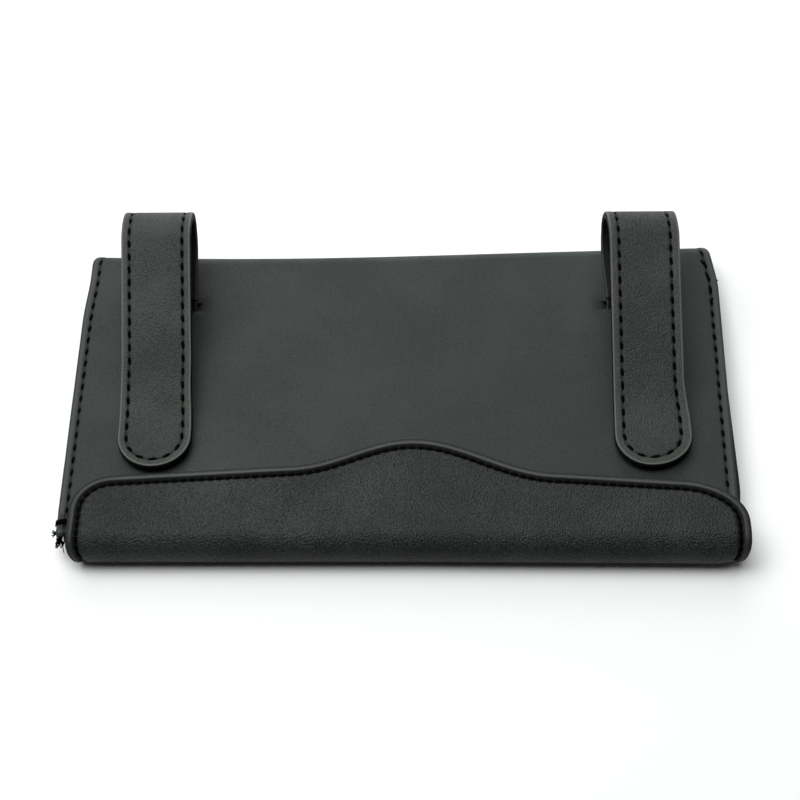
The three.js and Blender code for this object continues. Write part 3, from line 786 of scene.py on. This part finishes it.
end_cols = SLOT_HALF_WIDTH * np.sin(np.linspace(0, np.pi / 2, 14)) + slot_flat
middle_cols = np.concatenate([
    np.linspace(-half_width + RIM_STEPS[-1] + 0.5, -SLOT_HALF_LENGTH - 1, 26), -end_cols[::-1],
    np.linspace(-slot_flat, slot_flat, 42)[1:-1], end_cols,
    np.linspace(SLOT_HALF_LENGTH + 1, half_width - RIM_STEPS[-1] - 0.5, 26)])
flat_cols = np.concatenate([RIM_STEPS - half_width, middle_cols, (half_width - RIM_STEPS)[::-1]])
flat_cols = flat_cols + case_x
across, forward, keep = slotted_plan(flat_cols, near_y, far_y, 1.0)
roll_q = np.linspace(0, front_walk.begin[1], ROLL_ROWS + 1)[:-1, None]
roll_shape = ROLL_ROWS, len(flat_cols)
along = np.concatenate([np.broadcast_to(roll_q, roll_shape), forward - near_y + front_walk.begin[1]])
across = np.concatenate([np.broadcast_to(flat_cols, roll_shape), across])
keep = np.concatenate([np.ones((ROLL_ROWS, keep.shape[1]), bool), keep])
inset = half_width - np.abs(across - case_x)
fade = ease(along, 0, front_walk.begin[1])
toward_far = np.clip((along - front_walk.begin[1]) / (far_y - near_y), 0, 1)
across = across + (flap_x - case_x) * (1 - toward_far)
forward = place(front_walk, 0, along)[..., 1]
stitched = groove(inset, along, SEAM_INSET, 0.5, SEAM_PITCH)
panel_like = rim_depth(inset, 0.7, 0.45, SEAM_INSET, 0.0) + 0.3 * stitched
to_slot = np.where(along > front_walk.begin[1], slot_gap(across, forward), 99)
slot_rim = rim_depth(np.clip(to_slot, 0, None), 0.7, 0.45, SLOT_SEAM, 0.0)
slot_rim = slot_rim + 0.3 * np.exp(-((to_slot - SLOT_SEAM) / 0.5) ** 2)
outer_depth = flap_out(inset, along) * (1 - fade) + panel_like * fade + slot_rim
inner_depth = flap_in(inset, along) * (1 - fade) + 1.1 * fade
# The rim's lighter tone with its painted highlight, and the painted shade of the groove and the flap's
# very edge, run on round the roll into the panel's.
front_edge = flap_rim_highlight(inset, 0) * (1 - fade) + lighter_rim_and_highlight(inset, SEAM_INSET) * fade
front_seam = flap_shade(inset, along) * (1 - fade) + stitched * fade
front_panel = build("front_leather", [bent(front_walk, across, along, outer_depth, inner_depth, keep)],
                    grained_leather, "grained_leather", edge=front_edge, seam=front_seam)
ROLL_LOW, ROLL_MIDDLE, ROLL_HIGH = (
    place(front_walk, flap_x, front_walk.begin[1]) * MM, place(front_walk, flap_x, 0) * MM,
    place(flap_walk, flap_x, FLAP_RUN) * MM)
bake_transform(front_panel)
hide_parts("front_cover")
print("front faces:", len(front_panel.data.polygons))

# %% [markdown]
# ## Tongues
#
# The flap and the straps end in a shaped edge with the rim and the groove following it. A plain
# grid would cut across that edge in steps. So a tongue has two grids: a band of rings, each a
# fixed distance inside the outline, and an inner patch whose four sides are three stretches of
# the last ring and the root. The patch is a Coons patch, which blends its four sides into a
# surface.

# %% Rings and a Coons patch
def resample(x, q, spacing, smooth=0.0):
    """The line at an even spacing, smoothed by a moving average where smooth is a length."""
    walked = travelled(x, q)
    count = int(round(walked[-1] / spacing)) + 1
    even = np.linspace(0, walked[-1], count)
    x, q = np.interp(even, walked, x), np.interp(even, walked, q)
    if smooth:
        reach = int(smooth / spacing / 2)
        window = np.hanning(2 * reach + 3)[1:-1]
        window /= window.sum()
        padded = [np.concatenate([2 * v[0] - v[reach:0:-1], v, 2 * v[-1] - v[-2:-reach - 2:-1]])
                  for v in (x, q)]
        x, q = (np.convolve(v, window, "valid") for v in padded)
    return x, q


def inward(x, q):
    """Unit normals of the outline, on the side of its middle."""
    run = np.stack([np.gradient(x), np.gradient(q)], -1)
    run /= np.linalg.norm(run, axis=1, keepdims=True)
    normal = np.stack([-run[:, 1], run[:, 0]], -1)
    to_middle = np.array([x.mean(), q.mean()]) - np.stack([x, q], -1)
    return normal * np.sign((normal * to_middle).sum())


def offset_line(x, q, inset):
    """The outline moved inwards by the inset."""
    normal = inward(x, q)
    return x + normal[:, 0] * inset, q + normal[:, 1] * inset


def tongue_plan(x, q, corner, steps):
    """The band of rings (outline points by steps) and the Coons patch inside it."""
    normal = inward(x, q)
    band_x = x[:, None] + normal[:, :1] * steps
    band_q = q[:, None] + normal[:, 1:] * steps
    last_x, last_q = band_x[:, -1], band_q[:, -1]
    n = len(x) - 1
    sides = []
    for line in (last_x, last_q):
        left, top, right = line[:corner + 1], line[corner:n - corner + 1], line[n - corner:][::-1]
        share = (last_x[corner:n - corner + 1] - last_x[corner]) / (last_x[n - corner] - last_x[corner])
        root = left[0] + (right[0] - left[0]) * share
        u, v = share[None, :], np.linspace(0, 1, corner + 1)[:, None]
        patch = (1 - v) * root + v * top + (1 - u) * left[:, None] + u * right[:, None]
        patch -= ((1 - u) * (1 - v) * root[0] + u * (1 - v) * root[-1]
                  + (1 - u) * v * top[0] + u * v * top[-1])
        sides.append(patch)
    return (band_x, band_q), tuple(sides)


def tongue(path, x, q, corner, depth_out, depth_in, shade, edge_highlight, seam_at, steps=RIM_STEPS):
    """Both shells of a tongue and its fields. depth_out and depth_in give a depth, and shade the
    groove's painted shade, from the distances in from the edge and along the seam. The function for
    the edge field gives a lighter rim with a painted highlight, from the distances in from the edge
    and from the nearer end of the seam."""
    (bx, bq), (px, pq) = tongue_plan(x, q, corner, steps)
    d = np.broadcast_to(steps, bx.shape)
    s = np.broadcast_to(travelled(*offset_line(x, q, seam_at))[:, None], bx.shape)
    inside_d, inside_s = np.full(px.shape, steps[-1] * 1.0), np.zeros(px.shape)
    band = bent(path, bx, bq, depth_out(d, s), depth_in(d, s), joined=("last_col",))
    patch = bent(path, px, pq, depth_out(inside_d, inside_s), depth_in(inside_d, inside_s),
                 joined=("last_row", "first_col", "last_col"))
    fields = {key: np.concatenate([np.tile(values.ravel(), 2), np.zeros(2 * px.size)])
              for key, values in (("edge", edge_highlight(d, np.minimum(s, s.max() - s))), ("seam", shade(d, s)))}
    return [band, patch], fields


print("tongue helpers ready")

# %% [markdown]
# ## Flap
#
# The flap's edge is level at the shoulders and swells to a hump in the middle. It is soft leather
# over a thin board, and could be a plate cut by a curve, but then its rim wouldn't follow the edge.
# The upper half of the roll belongs to it.

# %% Flap leather
CREST, CREST_X = 36.2, 1.5
FLAP_SIDES = {
    -1: SimpleNamespace(shoulder=25.4, fall=3.6, hump=41.9, across=14.1, along=13.5),
    1: SimpleNamespace(shoulder=22.4, fall=2.8, hump=49.6, across=24.0, along=16.1),
}
FLAP_SPACING = 0.5


def flap_half_outline(sign):
    """From the roll up one side: a quarter ellipse, a fall to the shoulder and half a cosine hump.
    The two halves differ, as in the photo."""
    half = FLAP_SIDES[sign]
    angle = np.linspace(0, np.pi / 2, 40)
    hump = (1 + np.cos(np.linspace(np.pi, 0, 120))) / 2
    u = np.concatenate([[half_width], half_width - half.across + half.across * np.cos(angle),
                        np.linspace(half.hump, 0, 120) + sign * CREST_X])
    r = np.concatenate([[-QUARTER],
                        half.shoulder - half.fall - half.along + half.along * np.sin(angle),
                        half.shoulder + (CREST - half.shoulder) * hump])
    return flap_x + sign * u, FLAP_RUN - r


flap_halves = flap_half_outline(-1), flap_half_outline(1)
flap_line_x, flap_line_q = resample(
    *(np.concatenate([left, right[-2::-1]]) for left, right in zip(*flap_halves)),
    FLAP_SPACING, smooth=9.0)
flap_corner = int((QUARTER + 17) / FLAP_SPACING)
flap_shells, flap_fields = tongue(flap_walk, flap_line_x, flap_line_q, flap_corner, flap_out, flap_in,
                                  flap_shade, flap_rim_highlight, FLAP_SEAM)
flap_leather = build("flap_leather", flap_shells, grained_leather, "grained_leather", **flap_fields)
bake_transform(flap_leather)
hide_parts("spine_cover", "flap_cover")
print("flap faces:", len(flap_leather.data.polygons))

# %% [markdown]
# ## Straps
#
# Each strap is two plies sewn and glued back to back, so the upper one fills the gap between the
# CAD's two. The lower ply stands a little proud at the sides, a thin second line along the edge.
# A strap crosses two hinges, at a quarter and at three quarters of its loop, so each ply is split
# in the middle of the loop into a rear half and a front half, and at the split both follow the
# curl exactly.

# %% Strap leather
STRAP_SEAM, STRAP_PITCH = {"left": 2.75, "right": 3.1}, 4.7
TOP_PLY_INSET, PLY_SPACING = 0.15, 0.6
PLY_FINISH = {"leather": strap_leather, "backing": backing_leather}
strap_parts = {}


def tongue_outline(half, root, tip, spacing):
    """Straight side, half circle and straight side."""
    angle = np.linspace(np.pi, 0, 90)
    x = np.concatenate([[-half], half * np.cos(angle), [half]])
    q = np.concatenate([[root], tip - half + half * np.sin(angle), [root]])
    return resample(x, q, spacing)


def ply_fields(seam_at, base, dip, thick):
    """The depth of one ply's two faces, its groove's painted shade and its edge field. Its outer face
    is base below the strap's. The groove is narrow, and its painted shade darkest at the stitches;
    the rim is a little lighter and the cut edge has a painted highlight."""
    def shade(d, s):
        return groove(d, s, seam_at, 0.45, STRAP_PITCH, 0.5)

    def out(d, s):
        return base + rim_depth(d, 0.4, 0.3, seam_at, 0.04) + dip * shade(d, s)

    def within(d, s):
        return base + thick - 0.35 * np.exp(-(d / 0.3) ** 2)

    def edge_highlight(d, s):
        return 0.08 / (1 + np.exp((d - seam_at + 0.4) / 0.15)) + 0.5 * np.exp(-((d - 0.35) / 0.22) ** 2)
    return out, within, shade, edge_highlight


def strap_ply(side, ply, half, base, dip, thick, first_q):
    """The rear half as a plain strip and the front half as a tongue, of one ply of one strap."""
    centre, seam_at = strap_x[side], STRAP_SEAM[side]
    out, within, shade, edge_highlight = ply_fields(seam_at, base, dip, thick)
    rows = np.unique(np.round(np.concatenate([
        np.linspace(first_q, loop_start, 80), np.linspace(loop_start, loop_middle, 72)]), 6))
    steps = RIM_STEPS[RIM_STEPS < 5]
    inner_cols = np.linspace(-half + steps[-1] + 0.5, half - steps[-1] - 0.5, 18)
    cols = np.concatenate([steps - half, inner_cols, (half - steps)[::-1]])
    across, along = np.meshgrid(cols, rows)
    inset, sewn = half - np.abs(across), loop_middle - along
    path = strap_walks[side]
    strip = bent(path, across + centre, along, out(inset, sewn), within(inset, sewn))
    # The top ply's inner face and cut edges take the near-black backing: on the cut edges that is painted
    # shade, for the dark band along the strap's sides and tip.
    rear = build(f"{side}_strap_rear_{ply}", [strip], PLY_FINISH[ply], "strap_leather", backing_leather,
                 edge=edge_highlight(inset, sewn), seam=shade(inset, sewn))
    x, q = tongue_outline(half, loop_middle, strap_length - (strap_half - half), PLY_SPACING)
    corner = int((strap_length - strap_half - loop_middle + half * np.pi / 4) / PLY_SPACING)
    # The backing's front gets no edge lightening, so its near-black edge keeps the painted shade band
    # under the tip.
    front_highlight = edge_highlight if ply == "leather" else lambda d, s: 0 * d
    shells, fields = tongue(path, x + centre, q, corner, out, within, shade, front_highlight, seam_at, steps)
    front = build(f"{side}_strap_front_{ply}", shells, PLY_FINISH[ply], "strap_leather",
                  backing_leather, **fields)
    return rear, front


def on_loop(share, centre):
    """The point on the loop's outer face at a share of its turn, in metres."""
    return place(strap_walk, centre, loop_start + share * (loop_end - loop_start)) * MM


for side, centre in strap_x.items():
    low, middle, high = (on_loop(share, centre) for share in (0, 0.5, 1))
    for ply, node_end, half, base, dip, thick, first_q in (
        ("leather", "outer", strap_half - TOP_PLY_INSET, 0.0, 0.35, PLY + PLY_GAP - 0.01, 0.0),
        ("backing", "lining", strap_half, PLY + PLY_GAP, 0.1, PLY, strap_walk.begin[4]),
    ):
        rear, front = strap_ply(side, ply, half, base, dip, thick, first_q)
        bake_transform(rear)
        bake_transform(front)
        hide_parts(f"{side}_root_{node_end}")
        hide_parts(f"{side}_bend_{node_end}", f"{side}_strap_{node_end}")
        strap_parts[side, ply] = (rear, front)
print("strap pieces:", len(strap_parts) * 2)

# %% [markdown]
# ## Seams
#
# The stitches follow the grooves. Each seam is its own piece: it rides on the case, or, where its
# leather crosses a hinge, it is only set in place.

# %% Sew the seams
def seam(name, parts, body=None, bodies=None, start=None, end=None):
    """Builds a seam's spindles as one piece and ties it to its body; without one it is only set in place.
    """
    made = build(name, parts, thread_finish, "lining_cloth")
    if body:
        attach(made, body)
    else:
        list(bodies)
        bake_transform(made)
        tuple(start)
        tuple(end)
    return made


for side, centre in strap_x.items():
    low, middle, high = (on_loop(share, centre) for share in (0, 0.5, 1))
    half = strap_half - TOP_PLY_INSET
    x, q = tongue_outline(half, loop_middle, strap_length - TOP_PLY_INSET, 0.3)
    x, q = offset_line(x, q, STRAP_SEAM[side])
    front = sew(strap_walks[side], x + centre, q, STRAP_PITCH, 3.1, 0.08, width=1.1, slant=0.25)
    seam(f"{side}_strap_front_stitches", [front], bodies=(side + "_curl", side + "_strap"),
         start=middle, end=high)
    rear_q = np.linspace(loop_middle, strap_walk.begin[4] + 1, 400)
    rear = [sew(strap_walks[side], np.full(400, centre + sign * (half - STRAP_SEAM[side])), rear_q,
                STRAP_PITCH, 3.1, 0.08, width=1.1, slant=0.25 * sign) for sign in (-1, 1)]
    seam(f"{side}_strap_rear_stitches", rear, bodies=("case", side + "_curl"), start=low, end=middle)

flap_seam = offset_line(flap_line_x, flap_line_q, FLAP_SEAM)
seam("flap_stitches", [sew(flap_walk, *flap_seam, FLAP_PITCH, 3.1, 0.75, width=1.6, slant=0.15)],
     bodies=("flap_spine", "flap"), start=ROLL_MIDDLE, end=ROLL_HIGH)

side_q = np.linspace(0, panel_end - 7, 900)
side_half = back_half(place(back_walk, 0, side_q)[:, 1])
rows_sewn = [sew(back_walk, case_x + sign * (side_half - SEAM_INSET), side_q, SEAM_PITCH, 3.0, 0.08,
                 width=1.0, slant=0.3 * sign) for sign in (-1, 1)]
tack_q = np.linspace(fold_end + 1, fold_end + 19, 60)
tack_x = case_x + half_width - SEAM_INSET + np.linspace(-1.0, 0.5, 60)
rows_sewn.append(sew(back_walk, tack_x, tack_q, SEAM_PITCH, 2.8, 0.05, width=0.9, slant=0.3))
seam("back_panel_stitches", rows_sewn, body="case")

under_q = np.linspace(0, front_walk.begin[-1] - 1, 900)
toward_far = np.clip((under_q - front_walk.begin[1]) / (far_y - near_y), 0, 1)
under_shift = (flap_x - case_x) * (1 - toward_far)
under_inset = FLAP_SEAM + (SEAM_INSET - FLAP_SEAM) * ease(under_q, 0, front_walk.begin[1])
on_roll = under_q < 6
front_rows = []
for sign in (-1, 1):
    under_x = case_x + under_shift + sign * (half_width - under_inset)
    front_rows.append(sew(front_walk, under_x[on_roll], under_q[on_roll], FLAP_PITCH, 3.1, 0.75,
                          width=1.6, slant=0.15))
    front_rows.append(sew(front_walk, under_x[~on_roll], under_q[~on_roll], SEAM_PITCH, 2.3, 0.3,
                          slant=0.2 * sign))
seam("front_stitches", front_rows, bodies=("case", "flap_spine"), start=ROLL_LOW, end=ROLL_MIDDLE)

around = np.linspace(0, 2 * np.pi, 400)
slot_ring = SLOT_HALF_WIDTH + SLOT_SEAM
slot_seam_x = case_x + np.sign(np.cos(around)) * slot_flat + slot_ring * np.cos(around)
slot_seam_q = slot_ring * np.sin(around) - near_y + front_walk.begin[1]
seam("slot_stitches", [sew(front_walk, slot_seam_x, slot_seam_q, 3.5, 2.1, 0.15)], body="case")
hem_x = np.linspace(case_x - half_width + 5, case_x + half_width - 5, 500)
seam("mouth_stitches", [sew(back_walk, hem_x, np.full(500, panel_end - 4), 3.5, 2.1, 0.12)], body="case")

# %% [markdown]
# ## Loose thread ends
#
# The wallet in the photo isn't trimmed well. The left side seam ends near the mouth in a bar of
# threads over the rim, a knot and a tuft, and a nub of thread stands out of the right side near the
# far corner. Hair particles could make a tuft, but the spindles are there already, so each end is
# two of them, the second one bent away by a seeded amount.

# %% Bar, knot and tufts
def tuft(root, spread, aim, stray, count, seed):
    """Ends that start within spread of the root and go along the aim, each strayed twice."""
    draw = np.random.default_rng(seed)
    start = np.array(root) + draw.uniform(-1, 1, (count, 3)) * spread
    bent = start + np.array(aim) * draw.uniform(0.4, 1, (count, 1)) + draw.normal(0, stray, (count, 3))
    loose = bent + np.array(aim) * draw.uniform(0.2, 0.9, (count, 1)) + draw.normal(0, stray, (count, 3))
    up = np.tile([0.3, 0.2, 1.0], (count, 1))
    return [spindles(a, b, up, 0.34, 0.34, 0.0) for a, b in ((start, bent), (bent, loose))]


left_x, right_x = case_x - half_width, case_x + half_width
bar_y = back_low[1] + 3.8 + np.arange(4) * 0.42
bar_edge = np.stack([left_x - 0.6 + 0 * bar_y, bar_y, panel_top + 0.1 + 0 * bar_y], -1)
bar_up = np.tile([-0.5, 0, 1.0], (4, 1))
bar = [spindles(bar_edge + [0.1, 0.1, 0], bar_edge + [3.6, 0.5, 0.25], bar_up, 0.6, 0.6, 0.0),
       spindles(bar_edge + [-0.4, 0, -1.6], bar_edge + [0.2, 0.1, 0.1], bar_up, 0.6, 0.6, 0.0)]
knot = tuft((left_x - 0.6, back_low[1] + 1.4, 8.8), (0.3, 0.5, 0.6), (-0.7, -0.2, -0.1), 0.25, 14, 4)
fray = tuft((left_x + 1.3, back_low[1] + 0.3, 8.0), (1.5, 0.5, 2.0), (-0.1, -1.5, -0.5), 0.42, 40, 7)
nub = tuft((right_x - 0.9, 49.5, 9.6), (0.15, 0.3, 0.4), (0.6, 0.1, 0.1), 0.15, 4, 2)
seam("loose_threads", [*bar, *knot, *fray, *nub], body="case")

# %% [markdown]
# ## Linings, gussets and tapes
#
# The cloth linings lie against the boards and inside the roll, and are only seen through the slot or
# when the flap is open. The photo shows neither them nor the gussets, which close the pocket at the
# sides. A gusset folds inwards, deep at the mouth and shallow at the far fold, so it is a function
# of the place along the side and the place up the fold.

# %% Linings
def glued(made, x, y, under, keep=None):
    """Prints a lining's flat cut and its area; under, what it is glued to, is not used. The cut's area
    is the sum of its cells, each half the cross product of its diagonals, without the cells of a hole."""
    cells = ((x[1:, 1:] - x[:-1, :-1]) * (y[1:, :-1] - y[:-1, 1:])
             - (x[1:, :-1] - x[:-1, 1:]) * (y[1:, 1:] - y[:-1, :-1]))
    area = np.abs(cells if keep is None else cells[keep]).sum() / 2 * MM ** 2
    flat = float(np.ptp(x) * MM), float(np.ptp(y) * MM)
    print(made.name, "cut, mm:", [round(v / MM, 1) for v in flat], "area, cm2:", round(area * 1e4, 1))


LINING, LINING_GAP = 0.25, 0.05


def cloth(name, x, y, sheet, under, keep=None, body="case"):
    """A lining from its plan and its shell, riding on a body."""
    made = build(name, [sheet], lining_finish, "lining_cloth")
    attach(made, body)
    glued(made, x, y, under, keep)
    return made


low, high = box_mm("back_lining")
across, forward = np.meshgrid(np.linspace(low[0], high[0], 90), np.linspace(low[1] + 8, high[1], 50))
z = low[2] + LINING_GAP - uneven(across, forward, 0.12, 11)
sheet = level_shell(across, forward, z, z + LINING)
lining = cloth("back_lining_cloth", across, forward, sheet, "back_board")
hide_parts("back_lining")

low, high = box_mm("front_lining")
inner_cols = middle_cols[np.abs(middle_cols) < 102] + case_x
cols = np.concatenate([[low[0]], inner_cols, [high[0]]])
across, forward, keep = slotted_plan(cols, low[1], high[1], 3.0)
z = high[2] - LINING_GAP
sheet = level_shell(across, forward, z, z - LINING, keep)
lining = cloth("front_lining_cloth", across, forward, sheet, "front_board", keep)
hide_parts("front_lining")


# %% Flap and roll linings
def flap_lining_plan(inset, columns):
    """Columns across the flap and rows from the flap's near axis to its inset edge."""
    x, q = offset_line(flap_line_x, flap_line_q, inset)
    cols = np.linspace(flap_x - half_width + inset, flap_x + half_width - inset, columns)
    order = np.argsort(x)
    edge_q = np.interp(cols, x[order], q[order])
    v = np.linspace(0, 1, 24)[:, None]
    return np.broadcast_to(cols, (24, columns)), FLAP_RUN + (np.minimum(edge_q, FLAP_RUN) - FLAP_RUN) * v


LINING_INSET = 4.9
across, along = flap_lining_plan(LINING_INSET, 200)
sheet = bent(flap_walk, across, along, HEM_THICKNESS, HEM_THICKNESS - LINING)
lining = cloth("flap_lining_cloth", across, along, sheet, "flap_board", body="flap")
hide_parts("flap_lining")
inner_x = np.linspace(flap_x - half_width + LINING_INSET, flap_x + half_width - LINING_INSET, 80)
for name, path, q0, q1, bodies, ends, under in (
    ("roll_lining_upper", flap_walk, FLAP_RUN, flap_walk.begin[-1],
     ("flap_spine", "flap"), (ROLL_MIDDLE, ROLL_HIGH), flap_leather),
    ("roll_lining_lower", front_walk, 0, front_walk.begin[1],
     ("case", "flap_spine"), (ROLL_LOW, ROLL_MIDDLE), front_panel),
):
    across, along = np.meshgrid(inner_x, np.linspace(q0, q1, 30))
    part = build(name, [bent(path, across, along, 1.25, 1.25 + LINING)], lining_finish, "lining_cloth")
    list(bodies)
    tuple(ends[0])
    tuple(ends[1])
    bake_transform(part)
    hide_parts("spine_lining")
    glued(part, across, along, under)

# %% Gussets
GUSSET_LEATHER = 0.8


def gusset(side, sign):
    """Inset from the side at height share v: depth(y) times (1 - |2v - 1|^1.4), a soft crease. Its
    lower side follows the front's edge and its upper side the back's."""
    y = np.linspace(near_y + 1, far_y + far_radius - 1.6, 90)[:, None]
    v = np.linspace(0, 1, 25)[None, :]
    into_fold = np.clip(y - far_y, 0, None)
    clear = np.sqrt(np.clip((far_radius - 1.1) ** 2 - into_fold ** 2, 0.04, None))
    z_low = np.where(y < far_y, 1.15, far_radius - clear)
    z_high = np.where(y < far_y, panel_top - 1.15, far_radius + clear)
    mouth = np.clip((far_y - y) / (far_y - near_y), 0, 1)
    depth = 2.0 + 8.0 * mouth
    fold = 1 - np.abs(2 * v - 1) ** 1.4
    shift = (flap_x - case_x) * mouth * (1 - v)
    narrow = half_width - back_half(y)
    x = case_x + sign * (half_width - narrow - 0.3) + shift - sign * depth * fold
    z = z_low + (z_high - z_low) * v
    low_x, low_y = under_roll(x, front_walk.begin[1] + y - near_y, y)
    high_x, high_y = out_of_square(x, 0, y)
    outer = np.stack([x + low_x + (high_x - low_x) * v, y + low_y + (high_y - low_y) * v, z], -1)
    inner = outer - [sign * GUSSET_LEATHER, 0, 0]
    made = build(f"{side}_gusset_leather", [shell(outer, inner)], smooth_leather, "smooth_leather")
    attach(made, "case")
    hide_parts(f"{side}_gusset")


gusset("left", -1)
gusset("right", 1)

# %% [markdown]
# ## Hook and loop
#
# Each strap closes on the panel with a patch of hook tape under its tip and a longer patch of
# loop tape on the panel. The tape is thin and its edges are heat-cut, so a patch is a low pad with
# a rounded rim.

# %% Tapes
HOOK_LENGTH, HOOK_FROM_TIP, TAPE = 20, 4, 0.6


def round_end(x):
    """How far a patch's end falls back at x from its middle: a flat part of an ellipse."""
    return 8.5 * (1 - np.sqrt(1 - (x / 10.3) ** 2))


for side, centre in strap_x.items():
    low, high = box_mm(side + "_loop_patch")
    across, share = np.meshgrid(np.linspace(low[0], high[0], 40), np.linspace(0, 1, 60))
    near = low[1] + round_end(across - centre)
    forward = near + (high[1] - near) * share
    d = np.minimum.reduce([across - low[0], high[0] - across, forward - near, high[1] - forward])
    z = high[2] - rim_depth(d, 0.5, 0.3, 1, 0)
    pad = build(side + "_loop_tape", [level_shell(across, forward, z, low[2])], loop_finish, "loop_tape")
    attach(pad, "case")
    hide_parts(side + "_loop_patch")
    half = (high[0] - low[0]) / 2
    across, share = np.meshgrid(np.linspace(-half, half, 40), np.linspace(0, 1, 40))
    end = strap_length - HOOK_FROM_TIP - round_end(across)
    start = strap_length - HOOK_FROM_TIP - HOOK_LENGTH
    along = start + (end - start) * share
    d = np.minimum(half - np.abs(across), np.minimum(along - start, end - along))
    top = 2 * PLY + PLY_GAP + 0.2
    hooks = bent(strap_walks[side], across + centre, along, top, top + TAPE - rim_depth(d, 0.5, 0.3, 1, 0))
    pad = build(side + "_hook_tape", [hooks], hook_finish, "hook_tape")
    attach(pad, side + "_strap")
    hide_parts(side + "_hook_patch")

# %% [markdown]
# ## Boards and magnets
#
# These are rigid, their CAD shape is right, and they are hidden between the layers, so they keep
# their CAD meshes and only get their materials.

# %% CAD nodes that stay
for name, finish in (
    ("front_board", board_finish), ("back_board", board_finish), ("flap_board", board_finish),
    ("back_magnet", magnet_finish), ("flap_magnet", magnet_finish),
):
    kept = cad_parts[name]
    kept.data.materials.clear()
    kept.data.materials.append(finish)
print("shown CAD nodes:", sorted(n for n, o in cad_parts.items() if not o.hide_render))

# %% [markdown]
# ## Floor and light
#
# The photo shows a table lit to full white, with little light from below: the roll's lower half is
# nearly black. So the world is dark, and soft lamps stand above, behind and at both sides. Area
# lights fade with distance, which gives the panel its slow change of tone from left to right. One
# broad sun lights the floor evenly out to its edge.

# %% Studio
floor_finish, tree, shader, _ = start_material("white_paper_sweep")
shader.inputs["Base Color"].default_value = linear("#ededed")
shader.inputs["Roughness"].default_value = 0.9
FLOOR_HALF, FLOOR_Z = 40, -0.0002
floor_mesh = bpy.data.meshes.new("floor")
corners = [(FLOOR_HALF * i, FLOOR_HALF * j, FLOOR_Z) for i, j in ((-1, -1), (1, -1), (1, 1), (-1, 1))]
floor_mesh.from_pydata(corners, [], [(0, 1, 2, 3)])
floor_mesh.materials.append(floor_finish)
floor = bpy.data.objects.new("floor", floor_mesh)
bpy.context.scene.collection.objects.link(floor)

world = bpy.data.worlds.new("studio")
bpy.context.scene.world = world
world.use_nodes = True
background = world.node_tree.nodes["Background"]
background.inputs["Color"].default_value = linear("#ffffff")
background.inputs["Strength"].default_value = 0.025
LAMP_TINT = (0.975, 1.0, 0.985)


def softbox(name, place_m, size, power):
    """A square area light of some size, in metres, and power, in watts, facing the wallet."""
    lamp = bpy.data.lights.new(name, "AREA")
    lamp.size, lamp.energy, lamp.color = size, power, LAMP_TINT
    made = bpy.data.objects.new(name, lamp)
    made.location = place_m
    made.rotation_mode = "QUATERNION"
    made.rotation_quaternion = Vector(place_m).to_track_quat("Z", "Y")
    bpy.context.scene.collection.objects.link(made)


softbox("key_light", (-0.46, 0.46, 1.126), 0.8, 7.5)
softbox("side_light", (-0.65, 0, 1.126), 0.8, 6.2)
softbox("right_light", (1.0, -0.1, 0.8), 0.8, 0.6)
softbox("back_light", (0, 1.126, 0.65), 0.8, 7.5)
softbox("backdrop_light", (0, 1.3, 0.25), 0.5, 1.5)
overhead = bpy.data.lights.new("overhead_light", "SUN")
overhead.energy, overhead.angle, overhead.color = 1.36, math.radians(34), LAMP_TINT
bpy.context.scene.collection.objects.link(bpy.data.objects.new("overhead_light", overhead))
bpy.context.scene.view_settings.view_transform = "Standard"
